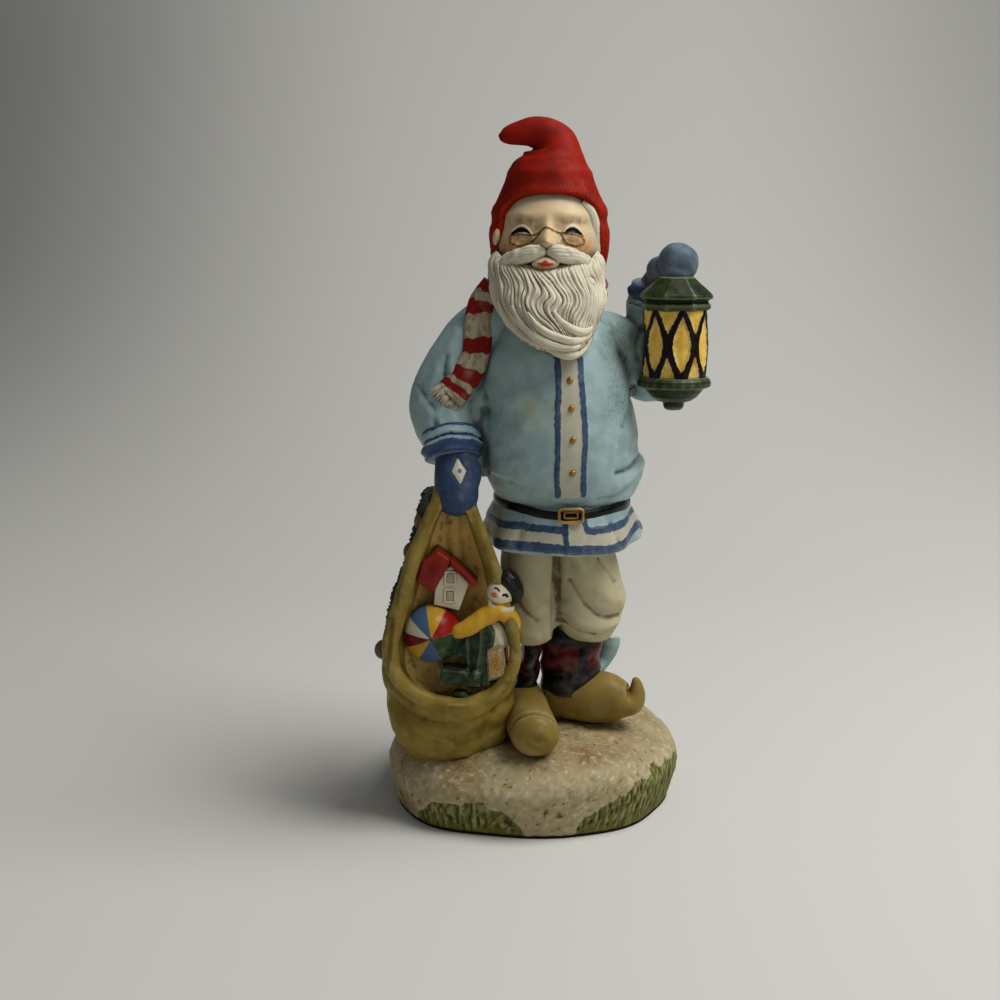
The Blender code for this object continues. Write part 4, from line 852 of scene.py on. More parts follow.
def coat_paint():
    """Pale blue with cream bands and dark blue lines by the stored outlines, scratches and sallow spots."""
    paint = Paint("coat_blue", (156, 180, 180), 0.38, 0.16)
    paint.patches((118, 148, 148), 7.0, 3.0, 0.42, 0.68, 0.55)
    paint.patches((176, 200, 198), 3.4, 4.0, 0.55, 0.78, 0.55)
    paint.patches((186, 170, 110), 3.0, 3.0, 0.3, 0.6, 0.55, paint.stored("sallow"))
    paint.brushed("cream", (184, 180, 160), 0.25, 0.15)
    line = paint.brushed("line", (58, 78, 106), 0.45, 0.14, 1.7)
    paint.patches((28, 42, 68), 1.4, 3.0, 0.50, 0.70, 0.6, line)
    paint.aged(wash=(58, 62, 48), depth=0.75, low=0.04, high=0.7, mottle=0.13, grime=0.5, speckle=0.30,
               grain=0.018)
    scratch = paint.step(paint.noise(0.42, 4.0, (1.4, 1.4, 0.5), lumps=0.75), 0.53, 0.62)
    paint.over((46, 42, 32), paint.times(paint.stored("soil"), paint.times(scratch, 0.8)))
    paint.shade(line, -0.14)
    return paint.done()


def make_belt(tree):
    """The belt, laid round the coat."""
    middle, reach, around, section = np.array((7.6, -8.5)), 60, 180, 20
    rows = []
    for angle in np.arange(around) * TAU / around:
        out = np.array((math.cos(angle), math.sin(angle)))
        sag = 1.3 * max(0, -math.sin(angle)) ** 3
        z = 88.6 - sag - 0.8 * max(0, math.cos(angle)) + 0.2 * math.sin(5 * angle)
        start = np.array((*(middle + reach * out), z))
        hit = tree.ray_cast(Vector(start), Vector((-out[0], -out[1], 0)))[0]
        rows.append((hit.x, hit.y, z, out[0], out[1]))
    rows = np.array(rows)
    for _ in range(3):
        rows = 0.5 * rows + 0.25 * (np.roll(rows, 1, 0) + np.roll(rows, -1, 0))
    turn = np.arange(section) * TAU / section
    thick = 0.75 * np.sign(np.cos(turn)) * np.abs(np.cos(turn)) ** 0.7
    tall = 1.25 * np.sign(np.sin(turn)) * np.abs(np.sin(turn)) ** 0.7
    out_x, out_y = rows[:, None, 3], rows[:, None, 4]
    grid = rows[:, None, :3] + np.stack([out_x * thick, out_y * thick, 0 * out_x + tall], -1)
    grid = grid + 0.06 * noise(grid, 2.0, 61)[..., None]
    paint = simple("belt_black", (10, 9, 9), 0.24, 0.3, wash=(4, 4, 4), mottle=0.03, rub=0.03, grime=0.0)
    keep(build("belt", grid.reshape(-1, 3), ring_faces(around, section), paint), 4, 0.3)


def make_buckle(tree):
    """The buckle's two frames and the buttons, which share the worn gold."""
    gold = Paint("worn_gold", (150, 106, 44), 0.36, metallic=0.65)
    gold.aged(wash=(34, 20, 8), depth=0.9, low=-0.1, high=0.5, mottle=0.3, grime=0.6,
              lighter=(240, 205, 130), rub=0.4)
    gold = gold.done()
    x, z = 9.6, 87.6
    forward, corners, section = np.array((0, 1, 0)), 28, 10
    parts = []
    for wide, tall, thick in ((3.1, 1.75, 0.42), (1.75, 0.75, 0.28)):
        turn = np.arange(corners) * TAU / corners
        outline = [(x + wide * np.sign(c) * abs(c) ** 0.35, z + tall * np.sign(s) * abs(s) ** 0.35)
                   for c, s in zip(np.cos(turn), np.sin(turn))]
        path = np.array([on_front(tree, px, pz, 0.9) for px, pz in outline])
        path[:, 1] = path[:, 1].min() + 0.3 * (path[:, 1] - path[:, 1].min())
        circle = (np.arange(section) * TAU / section)[None, :, None]
        run = unit(np.roll(path, -1, 0) - np.roll(path, 1, 0))
        side = unit(np.cross(run, forward))
        ring = path[:, None] + thick * (np.cos(circle) * side[:, None] + np.sin(circle) * forward)
        parts.append((ring.reshape(-1, 3), ring_faces(corners, section)))
    keep(build("buckle", *joined(*parts), gold), 3, 0.1)
    size = (0.78, 0.75, 0.95)
    parts = [ball(on_front(tree, bx, bz, 0.1), size, 20, 12, 20 * k) for k, (bx, bz) in enumerate(BUTTONS)]
    keep(build("buttons", *joined(*parts), gold), 3, 0.1)


# Arms

def make_cuffs():
    """The mittens' knitted cuffs, each with two pale bands."""
    paint = Paint("cuff_blue", (52, 74, 110), 0.34, 0.2)
    paint.brushed("pale", (150, 178, 184), 0.45, 0.15, 1.2)
    paint.aged(wash=(18, 26, 44), depth=0.75, mottle=0.15, grime=0.4, grain=0.015)
    paint = paint.done()
    length = 7.6
    shape = ((-0.10, 0.80), (0.02, 1.0), (0.14, 1.08), (0.30, 1.05), (0.40, 1.02), (0.52, 1.10), (0.66, 1.12),
             (0.80, 1.10), (0.92, 1.0), (1.0, 0.84))
    for name, wrist, hand, wide, (low, high) in (
        ("right_cuff", RIGHT_WRIST, RIGHT_HAND, 7.4, (0.30, 0.56)),
        ("left_cuff", LEFT_WRIST + (1.0, -1.0, 1.6), LEFT_WRIST + (2.0, -4.0, 11.0), 5.0, (0.24, 0.46)),
    ):
        run = unit(hand - wrist)
        rings = [(*(wrist + run * (share - 0.35) * length), size * wide, size * wide * 1.02)
                 for share, size in shape]
        form = Form(rings, 90, 50)
        wavy = form.share + 0.03 * np.sin(3 * form.angle) + 0.02 * np.sin(7 * form.angle + 1)
        form.lift(0.35 * np.sin(wavy * 22) + 0.15 * noise(form.grid, 2.5, 71, 2))
        obj = place(name, form, paint)
        stripes = np.maximum(0.11 - np.abs(wavy - low), 0.07 - np.abs(wavy - high)) * length
        store(obj, "pale", stripes, (-1, -1))
        keep(obj, 6, 0.25)


def make_right_mitten():
    """The mitten that holds the sack, with its thumb and the diamond painted on its back."""
    # A darker copy of the mittens' blue: painted shade on the lower mitten.
    paint = Paint("mitten_blue_shaded", (50, 68, 96), 0.40, 0.15)
    paint.patches((84, 102, 128), 3.0, 3.0, 0.5, 0.75, 0.5)
    paint.brushed("diamond", (214, 208, 188), 0.12, 0.10)
    paint.brushed("dot", (96, 122, 160), 0.10, 0.10)
    paint.aged(wash=(20, 24, 38), depth=0.8, mottle=0.18, grime=0.5, grain=0.02, lighter=(190, 190, 176),
               rub=0.25)
    paint = paint.done()
    x, y, z = RIGHT_HAND
    palm = Form([(x, y + 4.4, z + 9.5, 4.6, 4.2), (x, y + 2.6, z + 6.4, 5.5, 5.1),
                 (x, y + 0.8, z + 2.0, 5.9, 5.5), (x + 0.1, y - 0.4, z - 2.6, 5.8, 5.4),
                 (x + 0.2, y - 1.0, z - 5.8, 5.2, 4.8), (x + 0.2, y - 1.3, z - 7.6, 3.8, 3.6),
                 (x + 0.2, y - 1.4, z - 8.5, 1.6, 1.6), (x + 0.2, y - 1.4, z - 8.7, 0.2, 0.2)], 90, 80,
                square=2.3)
    thumb = ball((x + 5.1, y + 0.8, z + 1.8), (1.6, 2.5, 4.2), turn=6)
    obj = fused("right_mitten", [palm.closed(), thumb], 0.38, paint, 6)
    points = points_of(obj)
    across, up = points[:, 0] - (x + 0.9), points[:, 2] - (z + 4.0)
    facing = points[:, 1] < y - 1
    diamond = np.where(facing, 1.0 - np.abs(across + 0.12 * up) / 2.0 - np.abs(up) / 3.4, OUTSIDE) * 1.35
    lift(obj, -0.35 * bell(diamond, 0.0, 0.35) + 0.10 * noise(points, 3, 75, 2))
    store(obj, "diamond", diamond)
    store(obj, "dot", np.where(facing, 0.62 - np.hypot(across - 0.1, up), OUTSIDE))
    keep(obj, 8, 0.3)


def make_left_mitten():
    """The fist over the lantern: the knuckles' balls and the bent hand that leads to them."""
    x, y, z = LEFT_HAND
    bend = ((0.4, 0, 2, 3.8, 3.9), (3.2, -1.4, 6.8, 3.7, 3.8), (5.6, -4.2, 10.4, 3.5, 3.6),
            (7.0, -8.6, 11.6, 3.4, 3.5), (7.4, -11.0, 11.8, 2.0, 2.0))
    wrist = Form([(*(LEFT_WRIST + (dx, dy, dz)), wide, deep) for dx, dy, dz, wide, deep in bend], 60, 50,
                 side=(1, 1, 0))
    forms = [
        ball((x, y, z), (5.5, 5.5, 5.4)),
        ball((x - 4.5, y + 5.0, z - 2.0), (3.4, 3.5, 3.8), turn=10),
        ball((x - 2.6, y + 3.0, z - 3.4), (3.2, 3.6, 3.0)),
        wrist.closed(),
        ball((x - 0.8, y - 2.8, z - 2.8), (3.8, 3.0, 3.0)),
    ]
    # A lighter copy of the mittens' blue, with light grey patches: painted light on the raised fist.
    paint = Paint("fist_blue_lit", (84, 100, 118), 0.42, 0.1)
    paint.patches((136, 146, 148), 4.0, 3.0, 0.48, 0.72, 0.6)
    paint.aged(wash=(20, 24, 34), depth=0.85, mottle=0.22, grime=0.6, grain=0.02, lighter=(190, 190, 176),
               rub=0.25)
    obj = fused("left_mitten", forms, 0.40, paint.done(), 5)
    lift(obj, 0.16 * noise(points_of(obj), 3.2, 77, 2))
    keep(obj, 8, 0.3)


# Scarf

# Place and half width of the tail's red stripes, as shares of its length
TAIL_STRIPES = ((0.03, 0.045), (0.185, 0.045), (0.44, 0.055), (0.66, 0.055), (0.80, 0.04))


def make_scarf(tree):
    """The striped scarf: its turn round the neck, its tail and its fringe."""
    paint = Paint("scarf_wool", (176, 164, 138), 0.62)
    paint.patches((118, 100, 76), 1.1, 3.0, 0.42, 0.62, 0.7, stretch=(1, 1, 0.35))
    paint.brushed("red", (122, 20, 14), 0.35, 0.15, 0.9, worn=0.35)
    paint.aged(wash=(34, 20, 14), depth=0.92, low=0.0, high=0.6, mottle=0.15, grime=0.6, grain=0.03)
    paint = paint.done()
    make_scarf_wrap(paint)
    spine = make_scarf_tail(tree, paint)
    make_scarf_fringe(spine, paint)


def make_scarf_wrap(paint):
    """The turn round the neck, with a crease between its two layers."""
    neck = np.array((3.8, -6.5, 145.5))
    levels = ((-4.3, 12.4, 12.0), (-3.5, 15.2, 14.7), (-1.2, 16.3, 15.8), (1.2, 16.3, 15.8),
              (3.4, 14.9, 14.4), (4.3, 12.1, 11.7))
    wrap = Form([(*(neck + (0, 0, level)), wide, deep) for level, wide, deep in levels], 170, 36)
    stitch = 0.16 * np.abs(np.sin(wrap.angle * 42)) * np.sin(math.pi * wrap.share)
    crease = bell(wrap.share + 0.06 * np.sin(2 * wrap.angle), 0.5, 0.06)
    wrap.lift(stitch - 0.7 * crease + 0.3 * noise(wrap.grid, 5, 81, 2))
    obj = place("scarf_wrap", wrap, paint)
    stripes = (np.abs((wrap.angle * 3.2 / math.pi * 2.2) % 1 - 0.5) * -1 + 0.16) * 6
    store(obj, "red", stripes, (-1, -1))
    keep(obj, 4, 0.15)


def make_scarf_tail(tree, paint):
    """The knitted end that hangs over the coat. Gives back the points it runs through."""
    path = [(-10.6, 147.2), (-14.0, 141.6), (-14.7, 134.8), (-15.4, 128.6), (-18.0, 122.9), (-21.4, 118.9),
            (-22.6, 117.7)]
    spine = np.array([on_front(tree, px, pz, 0.3, -14.5) for px, pz in path])
    spine[:, 1] = np.convolve(np.pad(spine[:, 1], 1, "edge"), (0.25, 0.5, 0.25), "valid")
    wide = (3.0, 3.5, 3.8, 3.7, 4.0, 4.3, 4.3)
    rings = [(*p, w, 1.3) for p, w in zip(spine, wide)]
    tail = Form(rings, 96, 170, square=3.2)
    across = np.cos(tail.angle)
    front = np.maximum(np.sin(tail.angle), 0)
    uneven = noise(np.stack([tail.share * 40, across * 2, 0 * across], -1), 1.0, 83)
    knit = np.abs(np.sin(across * 15 + 1.2 * uneven))
    rows = np.sin(tail.share * 190 + 1.5 * np.sin(across * 9))
    tail.lift(front * (0.34 * knit + 0.06 * rows) + 0.12 * noise(tail.grid, 2.2, 85, 2))
    obj = place("scarf_tail", tail, paint)
    along = tail.share + 0.018 * across + 0.008 * np.sin(across * 7)
    edge = np.full(along.shape, OUTSIDE)
    for middle, half in TAIL_STRIPES:
        edge = np.maximum(edge, (half - np.abs(along - middle)) * 36)
    store(obj, "red", edge, (-1, -1))
    keep(obj, 5, 0.15)
    return spine


def make_scarf_fringe(spine, paint):
    """The loose ends below the tail, each a bent rod."""
    parts = []
    end, before, threads = spine[-1], spine[-2], 22
    run = unit(end - before)
    cross = unit(np.cross(run, (0, -1, 0)))
    for k in range(threads):
        part = k / (threads - 1) - 0.5
        lean = 0.5 * part + 0.10 * math.sin(9.1 * k)
        root = end + cross * part * 7.4 + np.array((0, 0.3 * math.sin(5 * k), 0))
        length = 2.7 + 0.6 * math.sin(3.7 * k)
        way = unit(run + cross * lean)
        bend, tip = root + way * length * 0.55 + (0, -0.35, 0), root + way * length + (0, 0.5, -0.4)
        parts.append(rod([root - way * 1.2, root, bend, tip], (0.50, 0.52, 0.46, 0.16), 8, 16,
                         side=(0, 1, 0)))
    obj = build("scarf_fringe", *joined(*parts), paint)
    store(obj, "red", np.full(len(obj.data.vertices), OUTSIDE))
    keep(obj, 4, 0.12)


# Head

def opening_reach(across, z, wide, tall):
    """How far a point lies from the middle of the hat's opening, which is 1 at the opening's own edge."""
    power, springing = 3.4, 156.0
    return ((across / wide) ** power + (np.maximum(z - springing, 0) / tall) ** power) ** (1 / power)


EYES = ((-1, -3.7, 160.55), (1, 9.95, 160.45))  # side, middle x and z


def on_both(x, z, wide, tall, height):
    """The same lump at both sides of the face's middle, at x and at -x."""
    return (-x, z, wide, tall, height), (x, z, wide, tall, height)


FACE_LUMPS = (  # x from the face's middle, z, width, height and how far it stands out: brows, sockets, lids,
    # the nose's bridge, tip and wings, cheeks, upper lip and chin
    (0, 166.5, 9, 2.6, 0.35), *on_both(6.2, 164.6, 4.2, 1.5, 0.75), *on_both(6.8, 161.2, 3.6, 2.0, -0.9),
    *on_both(6.8, 160.9, 2.7, 1.5, 0.95), (0, 160.6, 1.5, 3.0, 1.6), (0, 157.9, 2.1, 1.7, 4.8),
    *on_both(1.7, 157.2, 1.1, 1.0, 1.0), *on_both(9.3, 156.6, 3.6, 3.0, 1.7), (0, 154.4, 3.2, 1.6, 1.6),
    (0, 151.2, 2.6, 1.2, 1.4),
)
BLUSH = ((-9.6, 156.9, 2.4, 2.4, 1.0), (9.8, 156.9, 2.2, 2.6, 1.0))
SHADE = (  # painted shade, with a brown wash: under the brows, beside the nose, below the eyes and at the nostrils
    (-6.8, 163.4, 3.4, 0.8, 1.0), (7.0, 163.2, 3.6, 0.8, 1.0), (-3.2, 161.9, 1.5, 1.2, 0.8),
    (3.4, 161.6, 1.3, 1.0, 0.6), (-5.6, 158.3, 3.4, 1.3, 1.1), (6.8, 158.1, 3.2, 1.2, 1.1),
    (-1.7, 156.2, 1.0, 0.7, 1.0), (1.7, 156.2, 1.0, 0.7, 1.0),
)


def make_head():
    """The face is a fine grid bent round the head's front, with each feature raised or pressed in."""
    half = np.array((14.2, 14.9, 17.0))
    columns, rows = 174, 174
    a, b = np.meshgrid(np.linspace(-1.25, 1.25, columns), np.linspace(-1.05, 1.0, rows))
    way = unit(np.stack([np.tan(a * 0.95) * 0.9, -np.ones_like(a), np.tan(b * 0.95)], -1))
    grid = HEAD + way / np.linalg.norm(way / half, axis=-1, keepdims=True)
    x, z = grid[..., 0] - FACE_X, grid[..., 2]
    size = np.abs(x)

    def lumps(rows):
        return sum(height * np.exp(-((x - cx) / wide) ** 2 - ((z - cz) / tall) ** 2)
                   for cx, cz, wide, tall, height in rows)

    out = lumps(FACE_LUMPS)
    black = np.full(x.shape, OUTSIDE)
    rim = np.full(x.shape, OUTSIDE)
    for side, ex, ez in EYES:
        u, v = (grid[..., 0] - ex) * side, z - ez
        top = 1.15 - 0.27 * u * u - 0.15 * u
        low = top - 1.35 * (1 - (u / 2.9) ** 2)
        eye = np.minimum(top - v, v - low)
        black = np.maximum(black, eye * 0.8)
        lid = np.abs(v - top - 0.42 + 0.05 * u * u) * 0.9
        lid = np.where((u < 2.2) & (u > -3.9), lid, 9)
        rim = np.maximum(rim, 0.24 - lid)
        out += 0.42 * np.exp(-(lid / 0.42) ** 2) * smooth(np.abs(u), 4.2, 2.6) - 0.35 * smooth(eye, -0.1, 0.3)
    front = np.stack([grid[..., 0], z], -1)
    wire = np.full(x.shape, 9.0)
    for path in SPECTACLES:
        wire = np.minimum(wire, distance(front, through(path, 30))[0])
    out += 0.24 * np.exp(-(wire / 0.28) ** 2)
    out += 0.10 * noise(grid, 3.0, 91, 2)
    grid = grid + unit(way + np.array((0, -0.8, 0))) * out[..., None]
    reach = opening_reach(size, z, 13.2, 14.2)
    obj = build("face", grid.reshape(-1, 3), faces_of(rows, columns, wrap=False, capped=False), face_paint())
    for name, values in (("black", black), ("white", rim), ("wire", 0.26 - wire), ("blush", lumps(BLUSH)),
                         ("face_shade", lumps(SHADE)), ("temple", smooth(reach, 0.78, 0.93))):
        store(obj, name, values)
    keep(obj, 8, 0.25)


SPECTACLES = (  # x and z of the wire: over the left lens and the nose, below that lens, round the right one
    ((-5.8, 159.1), (-5.0, 159.7), (-3.4, 159.9), (-1.6, 159.7), (0.6, 160.0), (1.9, 161.0), (3.2, 161.5),
     (4.6, 160.9), (6.2, 160.4), (8.2, 160.2)),
    ((-5.8, 159.1), (-5.7, 158.0), (-4.6, 157.2), (-2.8, 157.1), (-0.8, 158.0), (0.9, 159.4), (1.9, 161.0)),
    ((8.2, 160.2), (10.4, 159.9), (12.1, 159.0), (12.5, 158.0), (11.3, 157.1), (9.4, 157.2), (7.9, 158.1),
     (7.0, 159.9)),
)


def face_paint():
    """Cream skin with blush, painted brown shade, white lids, a worn wire and black eyes, as stored."""
    paint = Paint("face_cream", (214, 190, 150), 0.42, 0.12)
    paint.patches((188, 152, 96), 5.0, 3.0, 0.42, 0.75, 0.45)
    paint.patches((196, 188, 164), 2.0, 4.0, 0.30, 0.60, 0.9, paint.stored("temple"))
    # Painted shade in brown, by the stored mask: under the brows, beside the nose, below the eyes and at the
    # nostrils.
    paint.patches((112, 86, 42), 1.6, 4.0, 0.28, 0.66, 0.85, paint.stored("face_shade"))
    paint.patches((188, 122, 56), 1.8, 3.0, 0.2, 0.6, 0.75, paint.stored("blush"))
    paint.aged(wash=(104, 78, 40), depth=0.7, mottle=0.10, grime=0.4, grain=0.015, low=0.08, high=0.9)
    paint.brushed("white", (226, 220, 200), 0.12, 0.18, 1.0, worn=0.4)
    wire = paint.brushed("wire", (128, 88, 32), 0.26, 0.14, 0.8, worn=0.85)
    paint.patches((84, 56, 20), 0.8, 3.0, 0.48, 0.62, 0.8, wire)
    black = paint.brushed("black", (12, 12, 12), 0.10, 0.07, 0.8)
    paint.shade(black, -0.15)
    return paint.done()


def hair_paint():
    """Warm white with a brown wash between the strands."""
    paint = Paint("hair_white", (218, 209, 186), 0.46, 0.06)
    paint.patches((176, 150, 104), 4.0, 3.0, 0.52, 0.80, 0.5)
    return paint.aged(wash=(72, 56, 34), depth=0.92, low=-0.15, high=0.65, mottle=0.14, grime=0.6, grain=0.02,
                      lighter=(246, 240, 222), rub=0.35).done()


def strands(across, along, pitch, sway, seed):
    """Ridges of hair a pitch apart across, swaying along their length: about 0 in grooves and 1 on top."""
    spot = np.stack([across / 6.0, along / 6.0, 0 * across], -1)
    bent = across + sway * np.sin(along * 0.62 + 2.2 * noise(spot, 1.0, seed))
    bent = bent + 1.2 * noise(spot, 1.0, seed + 1)
    bent = bent + 0.55 * noise(np.stack([across / 2.0, along / 3.4, 0 * across], -1), 1.0, seed + 2)
    uneven = 0.86 + 0.30 * noise(np.stack([across / 1.6, along / 3.0, 0 * across], -1), 1.0, seed + 3)
    lock = np.abs(np.sin(bent * math.pi / pitch / 2.6 + 0.5 * np.sin(along * 0.35)))
    hair = np.abs(np.sin(bent * math.pi / pitch)) ** 0.8
    fine = np.abs(np.sin(bent * math.pi / pitch * 2.3 + 1.3 * np.sin(along * 0.5)))
    return (0.34 * lock ** 0.7 + 0.46 * hair + 0.20 * fine) * uneven


BEARD_LOCKS = (  # x and z of the locks that sweep along the beard's lower edge to the curl at its right
    ((-9.6, 143.0), (-7.4, 138.6), (-3.8, 135.0), (0.6, 132.6), (5.4, 131.0)),
    ((-6.0, 142.0), (-3.6, 137.6), (0.4, 134.2), (5.4, 132.0), (10.2, 131.6), (13.2, 133.4)),
    ((-2.0, 140.4), (0.8, 136.8), (5.0, 134.4), (9.8, 133.2), (13.4, 134.0), (15.0, 136.0)),
    ((2.4, 131.6), (6.4, 130.0), (10.0, 129.8), (13.2, 131.4), (14.8, 133.6)),
    ((4.4, 141.0), (6.6, 138.0), (9.8, 136.0), (12.8, 135.4), (14.6, 136.4), (14.2, 137.4)),
)


def make_beard(paint):
    """The beard flows down and to the right, in wavy locks. Its hidden back half is left off."""
    rings = [(3.4, -12.0, 153.0, 10.8, 13.6), (3.3, -12.8, 151.0, 12.8, 15.1),
             (3.6, -14.0, 147.0, 14.2, 15.4), (3.9, -15.4, 142.5, 15.2, 14.8),
             (4.5, -17.0, 137.5, 15.2, 12.4), (5.6, -19.0, 133.5, 14.2, 9.8), (6.6, -20.8, 131.3, 12.6, 7.5),
             (7.6, -23.0, 129.8, 10.0, 4.9), (8.2, -25.4, 128.9, 7.0, 2.8), (8.4, -28.5, 128.5, 2.0, 0.6)]
    form = Form(rings, 520, 140, side=(0, -1, 0), square=2.3, level=True)
    turn = (form.angle + math.pi) % TAU - math.pi
    top = smooth(form.share, 0.22, 0.0)
    form.grid[..., 2] += top * (2.6 * smooth(np.abs(turn), 0.75, 1.35) - 1.5 * bell(turn, -0.05, 0.42))
    across, along = turn * 14.0, form.share * 31.0
    flow = across - 15.0 * form.share ** 2.6
    ridge = strands(flow, along, 1.15, 1.05, 101)
    fade = smooth(form.share, 0.0, 0.05) * smooth(form.share, 1.0, 0.90)
    form.lift(fade * (1.4 * (ridge - 0.6) + 0.6 * noise(form.grid, 5.0, 105, 2)))
    order = np.argsort(turn[0])
    order = order[np.abs(turn[0][order]) < 1.95]
    grid = form.grid[:, order]
    faces = turned_over(faces_of(*grid.shape[:2], wrap=False, capped=False))
    return keep(build("beard", grid.reshape(-1, 3), faces, paint), 5, 0.28)


def make_beard_locks(tree, paint):
    """The locks that lie loose on the beard, thin at both ends."""
    locks = []
    for number, run in enumerate(BEARD_LOCKS):
        line = [on_front(tree, px, pz, 0.15, -30.5) for px, pz in run]
        size = np.interp(np.linspace(0, 1, len(run)), (0, 0.3, 0.7, 1), (0.35, 1.15, 1.0, 0.25))
        lock = Form([(*p, r, 0.8 * r) for p, r in zip(line, size)], 30, 84, side=(0, 0, 1))
        ridge = strands(lock.angle * 2.0, lock.share * 16, 0.8, 0.2, 111 + number)
        fade = smooth(lock.share, 0, 0.15) * smooth(lock.share, 1, 0.9)
        locks.append(lock.lift(0.26 * (ridge - 0.6) * fade).closed())
    keep(build("beard_locks", *joined(*locks), paint), 5, 0.2)


def make_moustache(paint):
    """Both halves of the moustache, which sweep down and back from below the nose."""
    steps = ((0.0, 0.8, 0.0, 0.9, 0.8), (1.4, -0.3, 0.2, 1.7, 1.5), (4.0, 0.2, -0.4, 2.3, 1.9),
             (7.0, 1.9, -1.3, 2.4, 2.0), (9.8, 4.2, -2.4, 2.0, 1.7), (11.8, 6.4, -3.8, 1.2, 1.1),
             (12.8, 7.8, -5.0, 0.3, 0.4))
    for name, side in (("left_moustache", -1), ("right_moustache", 1)):
        root = np.array((FACE_X - 0.3 + side * 0.3, -23.3, 155.3))
        rings = [(*(root + (side * dx, dy, dz)), tall, deep) for dx, dy, dz, tall, deep in steps]
        form = Form(rings, 84, 84, side=(0, 0, 1))
        ridge = strands(form.angle * 2.4, form.share * 14, 1.1, 0.35, 121 + side)
        start = smooth(form.share, 0, 0.2)
        lumps = 0.5 * noise(form.grid, 2.4, 125, 2) * start
        form.lift(lumps + 0.24 * (ridge - 0.6) * start * smooth(form.share, 1, 0.9))
        keep(place(name, form, paint), 5, 0.2)


def make_side_hair(paint):
    """The hair beside the face, at the viewer's right."""
    strip = Form([(12.4, -13.4, 168.2, 0.8, 1.0), (14.6, -12.8, 165.8, 1.6, 1.6),
                  (15.7, -12.1, 162.2, 1.8, 1.9), (16.1, -11.6, 158.6, 1.9, 2.0),
                  (15.9, -11.6, 155.2, 1.8, 2.0), (15.0, -12.2, 152.6, 0.8, 1.2)], 48, 80)
    strip.lift(0.25 * (strands(strip.angle * 1.6, strip.share * 18, 0.9, 0.2, 131) - 0.5))
    keep(place("side_hair", strip, paint), 4, 0.2)


def make_ear():
    """The small part of the ear that shows below the hat at the left."""
    skin = simple("ear_skin", (212, 186, 142), 0.45, 0.1, wash=(96, 70, 40), grime=0.6)
    ear = ball((-9.9, -12.4, 159.2), (1.0, 1.6, 2.2), 40, 30, 8)
    keep(build("ear", *ear, skin), 5, 0.2)


def make_mouth():
    """The lips, on a small pad between the moustache and the beard."""
    centre = np.array((2.7, -22.7, 152.5))
    points, quads = ball(centre, (3.6, 2.6, 1.8), 90, 60)
    x, z = points[:, 0] - centre[0], points[:, 2] - centre[2] + 0.2
    top = 0.95 + 0.20 * np.cos(x * 3.0) - 0.20 * x ** 2 - z
    low = z + 0.35 - 0.08 * x ** 2
    upper = np.minimum(top, low)
    lower = np.minimum(-z - 0.35, z + 1.15 - 0.10 * x ** 2)
    front = smooth(-(points[:, 1] - centre[1]), 0.5, 1.5)
    lips = 0.45 * smooth(upper, -0.2, 0.4) + 0.35 * smooth(lower, -0.2, 0.4)
    points[:, 1] -= front * (lips - 0.3 * bell(z, -0.35, 0.16))
    paint = Paint("mouth_skin", (222, 206, 174), 0.42, 0.12)
    paint.aged(wash=(120, 90, 56), depth=0.6, mottle=0.08, grime=0.5)
    paint.brushed("lower", (206, 140, 112), 0.15, 0.15, 0.8)
    paint.brushed("upper", (176, 58, 40), 0.15, 0.10, 0.8)
    obj = build("mouth", points, quads, paint.done())
    store(obj, "upper", np.where(front > 0.5, upper, -1))
    store(obj, "lower", np.where(front > 0.5, lower, -1))
    keep(obj, 5, 0.2)


